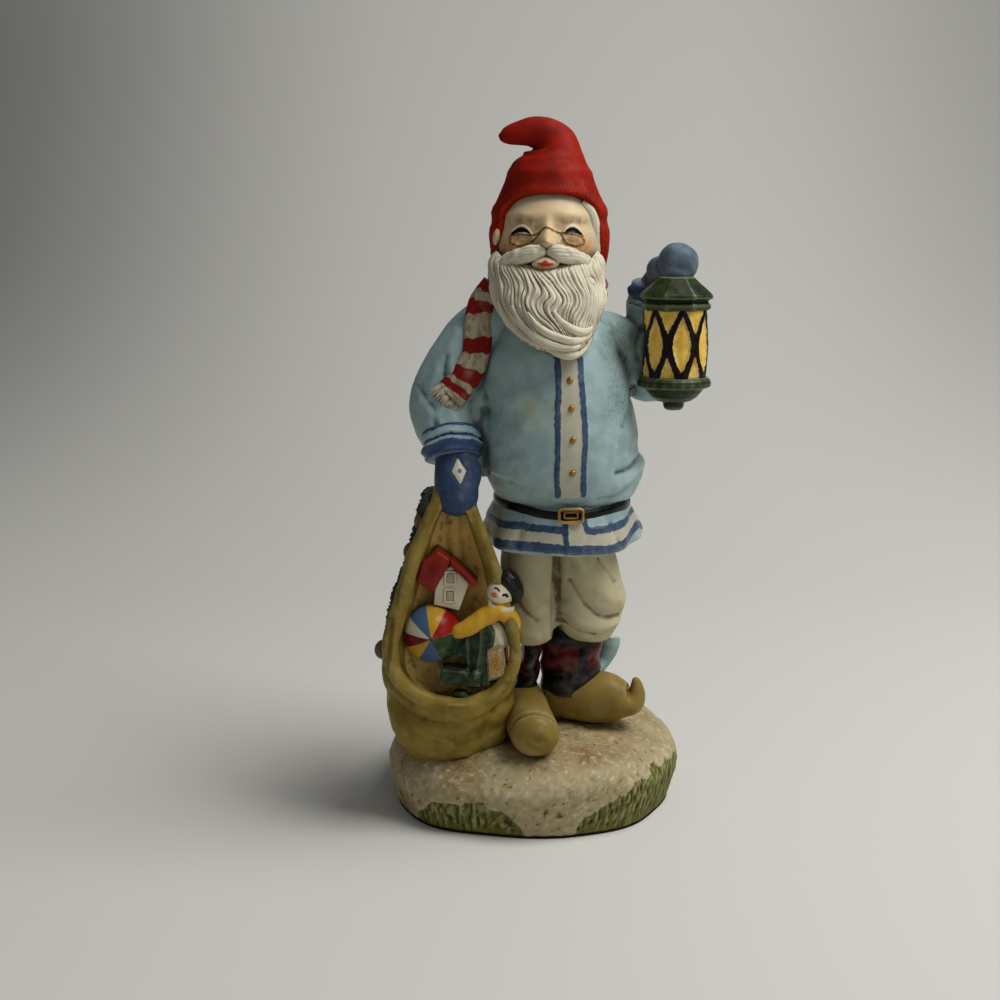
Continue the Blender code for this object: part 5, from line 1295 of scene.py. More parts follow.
def make_hat():
    """The ribbed hat, with its rolled rim round the face and its tip bent to the left."""
    rings = [(4.3, -4.7, 148.4, 14.0, 14.0), (4.3, -4.7, 152.5, 15.4, 15.2), (4.3, -4.7, 157.0, 16.0, 15.9),
             (4.3, -4.7, 161.0, 16.0, 16.0), (4.3, -4.7, 165.0, 15.1, 15.2), (4.3, -4.7, 169.0, 13.8, 13.8),
             (4.4, -4.7, 173.0, 12.2, 12.2), (4.6, -4.6, 177.0, 10.3, 10.4), (4.8, -4.6, 180.6, 8.4, 8.4),
             (4.4, -4.8, 183.6, 6.6, 6.6), (2.4, -5.3, 185.9, 4.5, 4.7), (-0.8, -5.6, 186.6, 3.7, 3.7),
             (-3.9, -5.9, 186.3, 3.2, 3.1), (-6.6, -6.2, 185.8, 2.6, 2.5), (-8.2, -6.4, 185.5, 1.9, 1.8),
             (-9.2, -6.5, 185.5, 0.8, 0.7), (-9.3, -6.5, 185.5, 0.1, 0.1)]
    form = Form(rings, 310, 144, side=(0, -1, 0))
    x, y, z = np.moveaxis(form.grid, -1, 0)
    reach = opening_reach(np.abs(x - 4.2), z, 13.7, 14.4)
    inside = np.where((y < -6.0) & (form.share < 0.6), (1 - reach) * 12.0, OUTSIDE)
    opening = smooth(inside, -0.1, 0.7)
    lip = bell(inside, -0.9, 1.0)
    turn = (form.angle + math.pi) % TAU - math.pi
    slant = turn * 16 * 0.8 + z * 0.62 + 0.7 * noise(form.grid, 5, 141)
    rib = np.abs(np.sin(slant * math.pi / 1.15)) ** 0.8
    strength = (0.14 + 0.34 * smooth(z, 178, 166)) * (0.75 + 0.35 * noise(form.grid, 4, 143, 2))
    crease = bell(z - 0.10 * (x - 4), 181.4, 1.1) * smooth(x, 10, 2) * (z < 184)
    plain = 0.45 * noise(form.grid, 8, 145, 2) - 0.8 * crease
    roll = 0.5 * bell(z, 166.5, 2.0) - 0.35 * bell(z, 163.2, 1.4) + 0.35 * bell(z, 176.4, 1.6)
    form.lift(strength * (rib - 0.5) * (1 - opening) + plain + roll + 0.35 * lip - 5.2 * opening)
    paint = Paint("hat_red", (148, 24, 5), 0.6)
    paint.patches((108, 10, 4), 7.0, 3.0, 0.42, 0.66, 0.6)
    paint.patches((172, 44, 10), 3.0, 4.0, 0.55, 0.75, 0.45)
    paint.aged(wash=(52, 8, 5), depth=0.75, low=0.0, high=0.7, mottle=0.10, grime=0.5, grain=0.03,
               lighter=(190, 72, 30), rub=0.14)
    keep(place("hat", form, paint.done()), 4, 0.16)


# Lantern

def turned(profile, centre, sides, softness=0.05, around=96):
    """A turned profile of (radius, height) whose section is a polygon with that many sides."""
    turn = np.arange(around) * TAU / around
    flat = np.cos(math.pi / sides) / np.cos((turn + math.pi / sides) % (TAU / sides) - math.pi / sides)
    flat = flat * (1 - softness) + softness
    profile = np.array(profile, float)
    return np.stack([
        centre[0] + profile[:, :1] * flat * np.cos(turn),
        centre[1] + profile[:, :1] * flat * np.sin(turn),
        centre[2] + profile[:, 1:] + 0 * turn,
    ], -1)


def fill_in(profile, gap=0.35):
    """The profile with points at least every gap."""
    out = []
    for (ra, za), (rb, zb) in zip(profile, profile[1:]):
        steps = max(1, int(math.hypot(rb - ra, zb - za) / gap))
        out += [(ra + (rb - ra) * k / steps, za + (zb - za) * k / steps) for k in range(steps)]
    return out + [profile[-1]]


def make_lantern():
    """The lantern's eight-sided roof and its round foot."""
    green = Paint("lantern_green", (40, 52, 26), 0.32, 0.2)
    green.patches((14, 20, 10), 3.0, 3.0, 0.45, 0.70, 0.7)
    green.patches((92, 104, 66), 1.3, 4.0, 0.60, 0.74, 0.45, stretch=(1, 1, 2))
    green.aged(wash=(8, 10, 6), depth=0.85, mottle=0.1, grime=0.6, grain=0.03, lighter=(150, 160, 120),
               rub=0.35)
    green = green.done()
    x, y, z = LANTERN
    roof = fill_in([(4.6, 35.4), (5.0, 35.2), (6.6, 33.6), (8.6, 31.9), (9.5, 31.2), (10.0, 30.7),
                    (10.1, 30.0), (9.6, 29.6), (8.9, 29.3), (8.8, 28.7), (9.3, 28.4), (9.6, 27.8),
                    (9.3, 27.0), (8.6, 26.6), (8.2, 26.4)])
    foot = fill_in([(8.2, 9.2), (8.7, 9.0), (9.5, 8.4), (9.9, 7.4), (9.8, 6.5), (9.0, 6.2), (7.9, 5.9),
                    (7.4, 5.0), (6.2, 3.6), (4.6, 2.5), (3.4, 2.2), (2.9, 1.9), (2.7, 0.9), (2.4, 0.3),
                    (1.9, 0.0)])
    for name, profile, sides in (("lantern_roof", roof, 8), ("lantern_foot", foot, 24)):
        grid = turned(profile, (x, y, z), sides)
        grid = grid + 0.14 * noise(grid, 2.6, 151, 2)[..., None] * unit(grid - np.array((x, y, z + 17)))
        keep(build(name, *capped(grid), green), 4, 0.2)


def make_panes():
    """The lantern's round glass, with the lattice of crossing bars raised on it."""
    x, y, z = LANTERN
    crossings, low, tall, radius = 7, 8.6, 18.0, 8.4
    glass = fill_in([(6.0, 28.2), (8.3, 28.0), (8.35, 22), (8.5, 17), (8.4, 12), (8.35, 8.2), (6.0, 8.0)],
                    0.3)
    grid = turned(glass, (x, y, z), 24, around=170)
    turn = np.arctan2(grid[..., 1] - y, grid[..., 0] - x)
    share = (grid[..., 2] - z - low) / tall
    flare = np.abs(2 * share - 1) ** 1.25 * 0.43
    gap = np.full(share.shape, -OUTSIDE)
    for crossing in range(crossings):
        middle = -math.pi / 2 - 0.35 + crossing * TAU / crossings
        off = (turn - middle + math.pi) % TAU - math.pi
        nearer = np.minimum(np.abs(off - flare), np.abs(off + flare))
        gap = np.minimum(gap, nearer * radius / np.hypot(1, 0.9))
    knots = 0.30 * bell(share, 0.5, 0.12)
    bars = 0.66 - gap + knots + 0.40 * bell(share, 0.0, 0.12) + 0.15 * noise(grid, 1.5, 153, 2)
    out = unit(np.stack([grid[..., 0] - x, grid[..., 1] - y, 0 * turn], -1))
    grid = grid + out * (0.55 * smooth(bars, -0.35, 0.25) - 0.25 + 0.10 * noise(grid, 2.0, 155))[..., None]
    lattice = Paint("lantern_panes", (238, 196, 84), 0.30, 0.25)
    lattice.patches((206, 150, 46), 3.2, 3.0, 0.42, 0.68, 0.55)
    lattice.patches((246, 228, 158), 2.4, 3.0, 0.58, 0.75, 0.55)
    beside = lattice.step(lattice.stored("bars"), -0.9, -0.35, 0.5)
    lattice.patches((244, 226, 160), 1.5, 2.0, 0.4, 0.6, within=beside)
    lattice.aged(wash=(112, 66, 16), depth=0.8, mottle=0.1, grime=0.5, grain=0.02)
    dark = lattice.brushed("bars", (22, 13, 10), 0.25, 0.12, 1.0)
    lattice.shade(dark, -0.12)
    obj = build("lantern_panes", *capped(grid), lattice.done())
    store(obj, "bars", bars, (-1, -1))
    keep(obj, 4, 0.2)


# Sack

MOUTH_WIDE = 17.0
MOUTH_HIGH = SACK_TOP - MOUTH_LOW


def sack_middle(level):
    """The middle of the sack at a share of its height."""
    return np.array((SACK_X, -17.5 - 6.0 * level, SACK_LOW + level * (SACK_TOP - SACK_LOW)))


def mouth_half(share):
    """Half of the mouth's width at a share of its height: a tear drop."""
    rounded = np.sqrt(1 - (1 - np.minimum(1, 3.2 * share)) ** 2)
    return MOUTH_WIDE * 1.22 * np.maximum(0, 1 - share) ** 0.62 * rounded


def mouth_y(share):
    """How far back the mouth's rim lies at a share of its height."""
    return MOUTH_Y + 7.0 * share


SACK_STROKES = (
    ([(-39.0, 37.0), (-32.0, 32.6), (-22.0, 31.2), (-12.0, 32.8), (-4.0, 36.6)], 1.2, -0.8),
    ([(-38.6, 33.4), (-31.0, 29.2), (-21.0, 28.0), (-11.0, 29.8), (-5.0, 33.0)], 1.4, 0.35),
    ([(-34.0, 27.2), (-26.0, 24.6), (-17.0, 24.4), (-9.0, 27.4)], 1.0, -0.35),
    ([(-40.4, 44.0), (-37.0, 39.4), (-33.0, 36.2)], 1.1, -0.9),
    ([(-41.0, 50.0), (-39.4, 45.6), (-38.0, 43.0)], 1.0, -0.7),
    ([(-36.0, 24.0), (-28.0, 20.6), (-18.0, 20.6)], 1.2, 0.6),
    ([(-38.0, 60.0), (-38.6, 52.0), (-40.0, 46.0)], 0.9, -0.8),
    ([(-33.0, 84.0), (-35.0, 74.0), (-37.0, 64.0)], 0.9, -0.6),
    ([(-30.0, 31.0), (-27.0, 26.0), (-26.0, 20.0)], 1.3, -0.5),
    ([(-13.0, 30.0), (-14.0, 25.0), (-13.0, 19.0)], 1.2, -0.5),
    ([(-39.0, 33.0), (-36.0, 28.0), (-36.0, 22.0)], 1.2, 0.5),
    ([(-7.0, 42.0), (-8.0, 36.6), (-10.0, 33.0)], 1.0, -0.6),
)


def sack_body():
    """The sagging outside of the sack, from its gathered top to its bottom."""
    levels = ((1.02, 4.2, 4.0, 0.3, 0.0), (0.88, 7.4, 6.8, 0.2, -0.3), (0.72, 11.2, 10.2, 0.0, -0.6),
              (0.55, 15.6, 14.3, 0.0, -0.5), (0.40, 18.5, 16.3, -0.4, 0.0), (0.33, 18.8, 16.8, -1.1, 0.1),
              (0.26, 17.9, 16.7, -1.0, 0.3), (0.12, 16.2, 14.6, -1.3, 1.6), (0.03, 13.9, 11.4, -1.8, 2.4),
              (-0.04, 9.5, 7.7, -2.0, 2.4))
    rings = [(*(sack_middle(level) + (shift, back, 0)), wide, deep)
             for level, wide, deep, shift, back in levels]
    body = Form(rings, 140, 120)
    turn, up = body.angle, body.grid[..., 2]
    folds = 0.4 * np.sin(3 * turn + 0.11 * up) + 0.3 * np.sin(5 * turn - 0.13 * up)
    return body.lift(folds + 0.3 * np.sin(0.45 * up + 1.6 * np.sin(2 * turn)) * smooth(up, 46, 30))


def sack_mouth():
    """What is cut out of the sack for its mouth."""
    shares = (0.03, 0.08, 0.18, 0.32, 0.48, 0.66, 0.82, 0.94)
    return Form([(SACK_X, -40.5 + 4.5 * share, MOUTH_LOW + share * MOUTH_HIGH,
                  max(0.8, mouth_half(share) - 1.6), 17.5) for share in shares], 80, 60, square=2.6)


def sack_rim():
    """The rolled edge: down the left side of the mouth, along its bottom and up the right side."""
    rim = []
    steps = (0.95, 0.86, 0.74, 0.60, 0.45, 0.30, 0.18, 0.09, 0.03)
    for side, order in ((-1, steps), (1, steps[::-1])):
        if side > 0:
            rim.append((SACK_X + 0.5, mouth_y(0.0), MOUTH_LOW))
        for share in order:
            rim.append((SACK_X + side * (mouth_half(share) - 0.2), mouth_y(share),
                        MOUTH_LOW + share * MOUTH_HIGH))
    thick = [1.6 + 0.8 * bell(k, 5, 3) + 0.5 * bell(k, 10, 3) for k in range(len(rim))]
    edge = Form([(*p, t, t) for p, t in zip(rim, thick)], 40, 200, side=(0, 1, 0))
    return edge.lift(0.35 * noise(edge.grid, 5, 161, 2))


def sack_folds():
    """The gathers that show inside the mouth."""
    folds = []
    for lean, thick in ((-0.75, 1.5), (-0.35, 1.2), (0.05, 1.5), (0.40, 1.3), (0.72, 1.5)):
        path = []
        for share in (0.97, 0.85, 0.70, 0.55, 0.40):
            middle = SACK_X + lean * mouth_half(share) * 0.9
            path.append((middle, -23.2 + 5.0 * share + 2.0 * (1 - share), MOUTH_LOW + share * MOUTH_HIGH))
        folds.append(rod(path, (0.9, thick, thick * 1.15, thick, 0.5), 16, 60, side=(0, 1, 0)))
    return folds


def make_sack():
    """The open sack: its body with the mouth cut out, then its rim and gathers fused to it."""
    voxel = 0.52
    bag = fused("sack_bag", [sack_body().closed()], voxel, None, 2, minus=[sack_mouth().closed()])
    whole = fused("sack", [mesh_of(bag), sack_rim().closed(), *sack_folds()], voxel, sack_paint(), 4)
    bpy.data.objects.remove(bag)
    carve(whole, SACK_STROKES, 0.5)
    points, normals = points_of(whole), normals_of(whole)
    share = np.clip((points[:, 2] - MOUTH_LOW) / MOUTH_HIGH, 0, 1)
    inner = (points[:, 1] > mouth_y(share) + 3) & (normals[:, 1] < -0.2)
    inner &= (share > 0) & (np.abs(points[:, 0] - SACK_X) < mouth_half(share) + 0.5)
    cloth = 0.16 * noise(points * (1, 1, 0.3), 1.3, 165, 3) * inner
    lift(whole, cloth + 0.5 * noise(points, 8, 167, 2) + 0.12 * noise(points, 2.4, 169, 2))
    # Where the painted light inside the mouth goes.
    store(whole, "inner", inner * 1.0)
    return keep(whole, 8, 0.35)


def sack_paint():
    """Ochre cloth, darkened in part as painted shade, with painted light inside the mouth, which lies in
    shade.
    """
    # The ground colour is partly painted shade: darker for the dimmer light low on the figure.
    paint = Paint("sack_cream", (138, 118, 50), 0.42, 0.10)
    paint.patches((104, 78, 22), 9.0, 3.0, 0.40, 0.72, 0.6)
    paint.patches((186, 174, 112), 4.0, 4.0, 0.56, 0.78, 0.5)
    # Painted light: the inside of the mouth, which lies in shade, gets a light cream.
    paint.patches((236, 200, 118), 3.0, 4.0, 0.25, 0.50, 0.9, paint.stored("inner"))
    return paint.aged(wash=(86, 58, 20), depth=0.85, low=0.02, high=0.7, mottle=0.14, grime=0.65,
                      speckle=0.5, grain=0.02, lighter=(240, 226, 180), rub=0.22).done()


def slab(outline, depth, centre, turn, bevel=0.25):
    """A flat outline in x and z made depth thick, with soft edges, turned about Y by degrees."""
    outline = np.array(outline, float)
    steps, shoulder = 6, bevel * 0.3
    dense = np.array([a + (b - a) * k / steps for a, b in zip(outline, np.roll(outline, -1, 0))
                      for k in range(steps)])
    inward = unit(outline.mean(0) - dense)
    front = ((-0.5, bevel), (-0.5 + shoulder / depth, shoulder), (-0.5 + bevel / depth, 0))
    layers = (*front, *((-share, inset) for share, inset in front[::-1]))
    tilt = math.radians(turn)
    grid = []
    for share, inset in layers:
        flat = dense + inward * inset
        x = flat[:, 0] * math.cos(tilt) + flat[:, 1] * math.sin(tilt)
        z = flat[:, 1] * math.cos(tilt) - flat[:, 0] * math.sin(tilt)
        grid.append(np.stack([x, np.full(len(x), share * depth), z], 1) + centre)
    area = np.sum(outline[:, 0] * np.roll(outline[:, 1], -1) - np.roll(outline[:, 0], -1) * outline[:, 1])
    return capped(np.array(grid), turn_over=area >= 0)


def make_toys():
    """The toys in the sack, which share their whites, blacks and greens."""
    white = simple("toy_white", (202, 192, 164), 0.40, 0.2, wash=(96, 80, 56), depth=0.7, mottle=0.12,
                   grime=0.6)
    black = simple("toy_black", (20, 18, 18), 0.28, 0.35, wash=(4, 4, 4), mottle=0.05, grime=0.0, rub=0.1)
    green = Paint("toy_green", (38, 58, 34), 0.26, 0.4)
    green.patches((14, 20, 14), 2.6, 2.0, 0.44, 0.60, 0.85)
    green.patches((96, 112, 74), 1.4, 3.0, 0.62, 0.72, 0.5)
    green = green.aged(wash=(6, 8, 6), depth=0.8, mottle=0.1, grime=0.5, lighter=(130, 144, 104),
                       rub=0.4).done()
    make_ball()
    make_house(white)
    make_doll_head(white, black)
    make_doll_body()
    make_chair(green)
    make_box()
    scraps = [ball((-19.8, -31.6, 39.4), (2.2, 1.8, 1.1)), ball((-18.4, -31.8, 38.6), (1.3, 1.4, 1.2))]
    keep(fused("toy_scrap", scraps, 0.25, green, 3), 4, 0.2)
    make_doll_skirt(white)


def make_house(white):
    """The little house: its walls, two niches with frames, and its roof in two slabs."""
    wash = dict(wash=(40, 6, 6), depth=0.7, mottle=0.2, grime=0.6, lighter=(210, 90, 70))
    red = simple("toy_red", (110, 8, 6), 0.34, 0.25, **wash)
    centre = np.array((-22.6, -24.6, 68.4))
    walls = [(-3.2, -6.0), (3.6, -6.6), (5.2, 1.0), (0.6, 6.0), (-3.8, 1.6)]
    body = slab(walls, 8.0, centre, 8)
    keep(build("house_walls", *body, white), 4, 0.2)
    dark = simple("niche_grey", (168, 158, 138), 0.5, 0.05, wash=(90, 76, 56), grime=0.7)
    square = ((-1, -1), (-1, 1), (1, 1), (1, -1), (-1, -1))
    pane = [(-0.9, -1.3), (0.9, -1.3), (0.9, 1.3), (-0.9, 1.3)]
    niches, frames = [], []
    for dx, dz in ((0.4, 1.9), (0.2, -3.0)):
        niches.append(slab(pane, 0.5, centre + (dx, -4.0, dz), 8))
        corner = centre + (dx, -4.1, dz)
        path = [corner + (sx * 1.35, 0, sz * 1.7) for sx, sz in square]
        frames += [rod([a, (a + b) / 2, b], 0.32, 8, 12, side=(0, 1, 0)) for a, b in zip(path, path[1:])]
    keep(build("house_niches", *joined(*niches), dark), 3, 0.2)
    keep(build("house_frames", *joined(*frames), white), 3, 0.2)
    left = [(-8.2, -0.6), (-3.6, -3.4), (0.8, 5.6), (-3.2, 8.2), (-6.8, 5.2)]
    right = [(-0.4, 6.9), (6.8, 0.2), (6.0, -0.9), (-0.2, 4.9)]
    roof = joined(slab(left, 8.6, centre + (-0.4, -0.4, 1.0), 4, 0.5),
                  slab(right, 9.4, centre + (0.8, -0.5, 0.2), 0, 0.3))
    keep(build("house_roof", *roof, red), 4, 0.25)


def make_chair(green):
    """The chair, fused from a seat, a back and an arm, with its slats carved."""
    seat = [(-6.2, -5.6), (5.0, -6.6), (5.4, -2.4), (-5.2, -1.6)]
    back = [(-2.2, -10.0), (3.6, -9.4), (5.0, 6.0), (2.6, 9.4), (-1.2, 9.0), (-3.4, 4.0)]
    arm = [(-4.6, -2.0), (3.0, -3.0), (4.0, 2.4), (-1.0, 5.4), (-3.0, 3.0)]
    parts = [
        slab(seat, 8.0, (-19.2, -29.6, 48.0), 0, 0.7),
        slab(back, 6.0, (-15.2, -28.9, 50.4), 0, 0.8),
        slab(arm, 4.6, (-19.6, -29.0, 51.4), 0, 0.9),
    ]
    slats = [
        ([(-21.8, 48.0), (-20.4, 52.0), (-18.4, 55.6)], 0.9, -0.8),
        ([(-15.6, 44.0), (-14.4, 50.0), (-14.0, 57.0)], 0.7, 0.5),
        ([(-17.4, 45.0), (-16.6, 50.0), (-17.0, 56.0)], 0.7, -0.7),
    ]
    chair = fused("toy_chair", parts, 0.42, green, 3)
    carve(chair, slats, 0.4)
    keep(chair, 6, 0.25)


def make_box():
    """The box with its gilt panel."""
    gold = Paint("toy_gilt", (178, 136, 60), 0.42, metallic=0.55)
    gold.patches((96, 64, 22), 0.45, 3.0, 0.48, 0.58, 0.8, lumps=0.7)
    gold.patches((236, 206, 130), 0.4, 2.0, 0.58, 0.68, 0.7)
    gold.relief(gold.noise(0.4, 3.0), 0.12)
    gold = gold.aged(wash=(50, 32, 10), depth=0.8, mottle=0.2, grime=0.5).done()
    box = slab([(-2.7, -4.7), (2.9, -4.3), (2.6, 4.7), (-2.4, 4.4)], 5.0, (-10.2, -29.4, 47.6), -7, 0.35)
    panel = slab([(-2.1, -4.0), (2.2, -3.7), (2.0, 4.0), (-1.8, 3.8)], 0.7, (-10.2, -32.0, 47.6), -7, 0.25)
    olive = simple("box_olive", (112, 96, 50), 0.4, 0.15, wash=(40, 30, 12), grime=0.6)
    keep(build("toy_box", *box, olive), 4, 0.2)
    keep(build("box_panel", *panel, gold), 3, 0.2)


def make_doll_skirt(white):
    """The pleated skirt that hangs from the doll."""
    skirt = Form([(-13.2, -28.2, 58.6, 2.0, 2.0), (-11.4, -28.0, 56.0, 3.6, 3.0),
                  (-10.2, -27.8, 53.4, 4.0, 3.4), (-9.8, -27.8, 51.6, 3.6, 3.2),
                  (-9.8, -27.8, 50.8, 0.4, 0.4)], 60, 40)
    skirt.lift(0.3 * np.sin(9 * skirt.angle) * skirt.share)
    keep(place("doll_skirt", skirt, white), 4, 0.2)


GORES = (  # the ball's colours, each from its edge to the next in degrees round the pole
    (144, 20, 14), (186, 142, 40), (66, 92, 124), (190, 182, 160),
    (102, 12, 12), (178, 136, 44), (60, 86, 118), (38, 60, 30),
)
GORE_EDGES = (12, 62, 100, 140, 172, 205, 240, 292, 330)


def make_ball():
    """The beach ball, its gores meeting at a pole that faces the viewer."""
    centre, radius = np.array((-27.2, -26.6, 54.6)), 7.9
    points, quads = ball(centre, (radius,) * 3, 110, 76)
    way = unit(points - centre)
    pole = unit(np.array((0.0, -1.0, 0.06)))
    up = unit(np.array((0, 0.06, 1.0)))
    side = np.cross(up, pole)
    turn = (np.degrees(np.arctan2(way @ up, way @ side)) + 360) % 360
    paint = Paint("ball_gores", GORES[-1], 0.34, 0.25)
    to_length = 0.10  # millimetres for a degree round the pole
    obj = build("toy_ball", points + way * (0.12 * noise(points, 3, 171, 2))[:, None], quads)
    seam = np.full(len(points), 90.0)
    for number, (start, end, colour) in enumerate(zip(GORE_EDGES, GORE_EDGES[1:], GORES)):
        store(obj, f"gore_{number}", between(turn, start, end) * to_length)
        seam = np.minimum(seam, np.abs(turn - start) * to_length)
        paint.brushed(f"gore_{number}", colour, 0.10, 0.08)
    store(obj, "seam", 0.10 - seam)
    paint.brushed("seam", (150, 134, 84), 0.10, 0.12, worn=0.7)
    paint.aged(wash=(60, 40, 24), depth=0.7, mottle=0.15, grime=0.6, grain=0.02)
    obj.data.materials.append(paint.done())
    keep(obj, 5, 0.2)


def make_doll_head(white, black):
    """The doll's face, with its painted eyes and cheek, its hair and its collar."""
    head = np.array((-8.8, -27.8, 66.2))
    face = Paint("doll_face", (218, 206, 180), 0.40, 0.2)
    face.brushed("cheek", (196, 104, 66), 0.15, 0.3)
    face.aged(wash=(110, 84, 52), depth=0.5, mottle=0.08, grime=0.5, grain=0.01)
    face.brushed("eyes", (16, 14, 14), 0.06, 0.07)
    points, quads = ball(head, (3.7, 3.7, 3.8), 80, 56)
    x, z = points[:, 0] - head[0], points[:, 2] - head[2]
    front = points[:, 1] < head[1]
    tilt = math.radians(-28)
    u, v = x * math.cos(tilt) + z * math.sin(tilt), z * math.cos(tilt) - x * math.sin(tilt)
    seen = np.stack([u, v], 1)
    left_eye, right_eye = [(-2.3, 0.9), (-1.6, 1.2), (-0.9, 0.9)], [(0.5, 0.4), (1.1, 0.9), (1.7, 0.5)]
    lines = np.minimum(distance(seen, left_eye)[0], distance(seen, right_eye)[0] - 0.12)
    nose = 0.5 * np.exp(-((u + 0.2) / 0.5) ** 2 - ((v + 0.3) / 0.6) ** 2)
    cheek = 0.35 * np.exp(-((u + 1.4) / 1.0) ** 2 - ((v + 0.9) / 0.9) ** 2)
    points[:, 1] -= np.where(front, nose + cheek, 0)
    obj = build("doll_face", points, quads, face.done())
    store(obj, "eyes", np.where(front, 0.24 - lines, -1))
    store(obj, "cheek", np.where(front, 0.75 - np.hypot(u + 1.6, v + 0.7), -1))
    keep(obj, 5, 0.2)
    hair = Form([(-9.0, -26.6, 70.8, 0.6, 1.0), (-8.0, -27.0, 70.2, 2.4, 3.2), (-6.3, -27.0, 68.6, 2.6, 4.0),
                 (-5.1, -26.8, 66.4, 2.3, 3.8), (-5.0, -26.6, 64.2, 1.5, 2.8),
                 (-5.6, -26.6, 63.0, 0.4, 0.8)], 70, 70, side=(1, 0, 1))
    hair.lift(0.22 * np.abs(np.sin(hair.angle * 9 + 4 * hair.share)) + 0.15 * noise(hair.grid, 1.4, 181, 2))
    keep(place("doll_hair", hair, black), 4, 0.2)
    collar = Form([(-11.8, -29.4, 64.6, 0.5, 0.5), (-11.2, -30.4, 62.9, 0.9, 0.8),
                   (-8.8, -31.0, 62.0, 1.0, 0.9), (-6.4, -30.2, 61.9, 0.9, 0.8),
                   (-5.4, -28.8, 62.4, 0.4, 0.4)], 40, 50, side=(0, 0, 1))
    keep(place("doll_collar", collar, white), 4, 0.2)


def make_doll_body():
    """The doll's bent body in its yellow suit."""
    yellow = simple("toy_yellow", (204, 156, 44), 0.36, 0.25, wash=(120, 74, 16), depth=0.8, mottle=0.15,
                    grime=0.6, speckle=0.4)
    body = Form([(-23.4, -29.8, 55.4, 0.8, 0.8), (-20.4, -30.4, 56.0, 2.2, 1.9),
                 (-16.6, -30.2, 57.6, 2.9, 2.4), (-12.8, -29.6, 60.0, 3.0, 2.6),
                 (-9.2, -29.2, 61.4, 2.8, 2.6), (-6.8, -28.8, 60.0, 2.5, 2.4), (-5.6, -28.6, 57.6, 2.1, 2.1),
                 (-5.5, -28.6, 55.4, 1.4, 1.5), (-5.6, -28.6, 54.6, 0.3, 0.3)], 56, 96, side=(0, 1, 0))
    body.lift(0.22 * noise(body.grid * (1, 1, 0.6), 1.6, 183, 3))
    keep(place("doll_body", body, yellow), 5, 0.2)


# What hangs behind

def make_bough(tree):
    """The pine bough that lies on the sack's left side, with its cones."""
    path = []
    for level in (0.97, 0.86, 0.72, 0.56, 0.40):
        middle = sack_middle(level)
        start = middle + (-FAR / 2, 7.5 * (1.3 - level), 0)
        hit = tree.ray_cast(Vector(start), Vector((1, 0, 0)))[0]
        path.append(np.array(hit) if hit else middle)
    rings = [(*(p + (-0.7, 0, 0)), r, r) for p, r in zip(path, (2.8, 3.3, 3.0, 2.8, 1.0))]
    form = Form(rings, 100, 160, side=(0, 1, 0))
    needles = np.abs(noise(np.stack([form.angle * 5, form.share * 44, 0 * form.share], -1), 1.0, 191, 2))
    form.lift(1.5 * needles ** 0.6 - 0.9 + 0.5 * noise(form.grid, 2.4, 193, 2))
    paint = Paint("bough_green", (48, 60, 40), 0.5, 0.1)
    paint.patches((84, 92, 58), 1.0, 3.0, 0.5, 0.7, 0.5)
    paint = paint.aged(wash=(12, 14, 8), depth=0.9, low=-0.1, high=0.6, mottle=0.2, grime=0.6).done()
    keep(place("pine_bough", form, paint), 4, 0.4)
    brown = simple("cone_brown", (112, 84, 50), 0.42, 0.15, wash=(30, 18, 8), mottle=0.2, grime=0.6)
    cones = [ball(path[k] + (-1.6, -0.6, low), (2.5, 2.5, 2.8), 40, 28, 15)
             for k, low in ((1, 0.0), (2, 2.0), (4, -2.0))]
    keep(build("bough_cones", *joined(*cones), brown), 5, 0.3)


def make_ankle_cup():
    """The cupped end that shows behind the right ankle: an outside and, from its rim down, a lined bowl."""
    root, around = RIGHT_ANKLE + (0, 0, 7), 70
    steps = ((0.0, 0.0, -5.5, 2.2), (5.5, 4.5, -6.5, 2.0), (8.0, 7.0, -5.0, 2.1), (9.4, 8.4, -2.2, 2.9),
             (10.0, 9.0, 0.2, 3.3), (10.3, 9.3, 2.2, 3.1))
    rings = [(*(root + (dx, dy, dz)), size, size * 0.9) for dx, dy, dz, size in steps]
    form = Form(rings, around, 60, side=(1, -1, 0))
    paint = Paint("leaf_blue", (136, 162, 156), 0.36, 0.2)
    paint.brushed("lining", (214, 206, 180), 0.15, 0.15)
    paint = paint.aged(wash=(52, 60, 50), depth=0.7, mottle=0.15, grime=0.6).done()
    points, quads = form.closed()
    rim = form.grid[-1]
    middle = rim.mean(0)
    depths = ((0.90, 0.0), (0.72, 1.4), (0.45, 2.2), (0.15, 2.5))
    cup = np.array([rim, *(middle + (rim - middle) * share - (0, 0, depth) for share, depth in depths)])
    bowl = np.vstack([cup.reshape(-1, 3), cup[-1].mean(0)])
    index = np.arange(cup.shape[0] * around).reshape(-1, around)
    after = np.roll(index, -1, 1)
    faces = np.stack([index[:-1], index[1:], after[1:], after[:-1]], -1).reshape(-1, 4).tolist()
    faces += [[len(bowl) - 1, int(b), int(a)] for a, b in zip(index[-1], after[-1])]
    outer = points[:-1]
    shell = [quad for quad in quads if max(quad) < len(points) - 1]
    obj = build("ankle_cup", *joined((outer, shell), (bowl, faces)), paint)
    lining = np.full(len(outer) + len(bowl), -1.0)
    lining[len(outer) + around:] = 1.0
    store(obj, "lining", lining)
    keep(obj, 5, 0.25)


# Stage

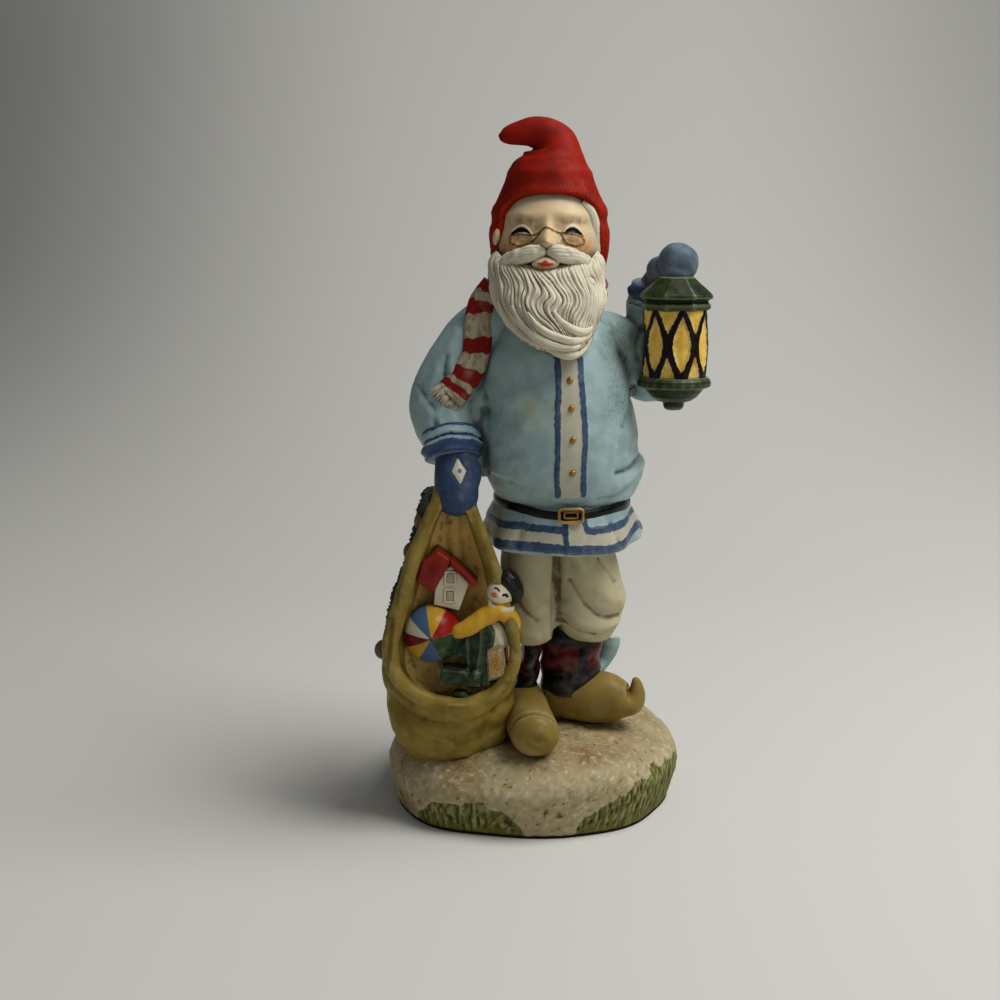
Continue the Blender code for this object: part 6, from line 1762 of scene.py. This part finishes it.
LIGHTS = (  # name, place and size in metres, watts, colour
    ("key", (0.40, -0.10, 0.76), 0.50, 6.5, (1.0, 0.99, 0.97)),
    ("window", (0.70, -0.60, 0.35), 0.60, 0.8, (1.0, 0.98, 0.95)),
    ("fill", (-0.7, -0.9, 0.5), 0.9, 0.5, (0.95, 0.98, 1.0)),
)
LIGHTS_AIM = Vector((0, 0, 0.09))
WORLD_COLOUR, WORLD_STRENGTH = (0.82, 0.83, 0.83, 1), 0.14
PAPER_HALF, PAPER_FRONT, PAPER_TOP = 1.8, -1.4, 1.6  # metres
PAPER_BEND, BEND_START = 0.5, 0.22  # the bend's radius, and y where it starts
CAMERA_PLACE, CAMERA_DOWN, CAMERA_LENS, CAMERA_SENSOR = (-0.009, -0.380, 0.161), 11.2, 49.1, 36.0


def make_paper():
    """A pale sweep of paper, with painted shade far back at both sides. Its places are in metres."""
    paint = Paint("paper", (211, 210, 205), 0.8)
    paint.relief(paint.noise(2.0, 2.0), 0.01)
    # Painted shade: the paper is darker far back, most at the left and less so higher up, and a little at the
    # right.
    paint.over((104, 105, 104), paint.stored("far"))
    columns = 73
    bend = np.radians(np.linspace(0, 90, 48))
    curve = zip(BEND_START + PAPER_BEND * np.sin(bend), PAPER_BEND - PAPER_BEND * np.cos(bend))
    rows = [(PAPER_FRONT, 0.0), *curve, (BEND_START + PAPER_BEND, PAPER_TOP)]
    grid = np.array([[(x, y, z) for x in np.linspace(-PAPER_HALF, PAPER_HALF, columns)] for y, z in rows])
    faces = faces_of(len(rows), columns, wrap=False, capped=False)
    floor = build("stage_floor", grid.reshape(-1, 3) / MM, faces, paint.done())
    x, y, z = np.moveaxis(grid, -1, 0)
    # The mask of the painted shade on the paper.
    left = 0.76 * smooth(-x, 0.06, 0.44) * (1 - 0.4 * smooth(z, 0.25, 0.6))
    store(floor, "far", smooth(y, 0.20, 0.60) * (left + 0.42 * smooth(x, 0.12, 0.42)))


def make_lights():
    """Soft light from the right and above, as in the photograph."""
    for name, where, size, power, colour in LIGHTS:
        light = bpy.data.lights.new(name, "AREA")
        light.energy = power
        light.size = size
        light.color = colour
        lamp = bpy.data.objects.new(name, light)
        lamp.location = where
        lamp.rotation_mode = "QUATERNION"
        lamp.rotation_quaternion = (LIGHTS_AIM - lamp.location).to_track_quat("-Z", "Y")
        bpy.context.scene.collection.objects.link(lamp)
    world = bpy.data.worlds.new("studio")
    world.use_nodes = True
    sky = world.node_tree.nodes["Background"]
    sky.inputs["Color"].default_value = WORLD_COLOUR
    sky.inputs["Strength"].default_value = WORLD_STRENGTH
    bpy.context.scene.world = world


def make_camera():
    """The camera, where the photograph was taken from."""
    camera = bpy.data.cameras.new("camera")
    camera.sensor_width = CAMERA_SENSOR
    camera.lens = CAMERA_LENS
    camera.clip_start = 0.01
    eye = bpy.data.objects.new("camera", camera)
    eye.location = CAMERA_PLACE
    eye.rotation_euler = (math.radians(90 - CAMERA_DOWN), 0, 0)
    bpy.context.scene.collection.objects.link(eye)
    bpy.context.scene.camera = eye
    bpy.context.scene.view_settings.view_transform = "Standard"


make_paper()
make_lights()
make_camera()
make_base()
make_shoes()
make_stockings()
make_trousers()
coat = make_coat()
coat_surface = surface_of(coat)
make_belt(coat_surface)
make_buckle(coat_surface)
make_cuffs()
make_right_mitten()
make_left_mitten()
make_scarf(coat_surface)
make_head()
hair = hair_paint()
beard = make_beard(hair)
make_beard_locks(surface_of(beard), hair)
make_moustache(hair)
make_side_hair(hair)
make_ear()
make_mouth()
make_hat()
make_lantern()
make_panes()
sack = make_sack()
make_toys()
make_bough(surface_of(sack))
make_ankle_cup()

for piece in pieces:
    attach(piece, "root")
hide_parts(NODE)
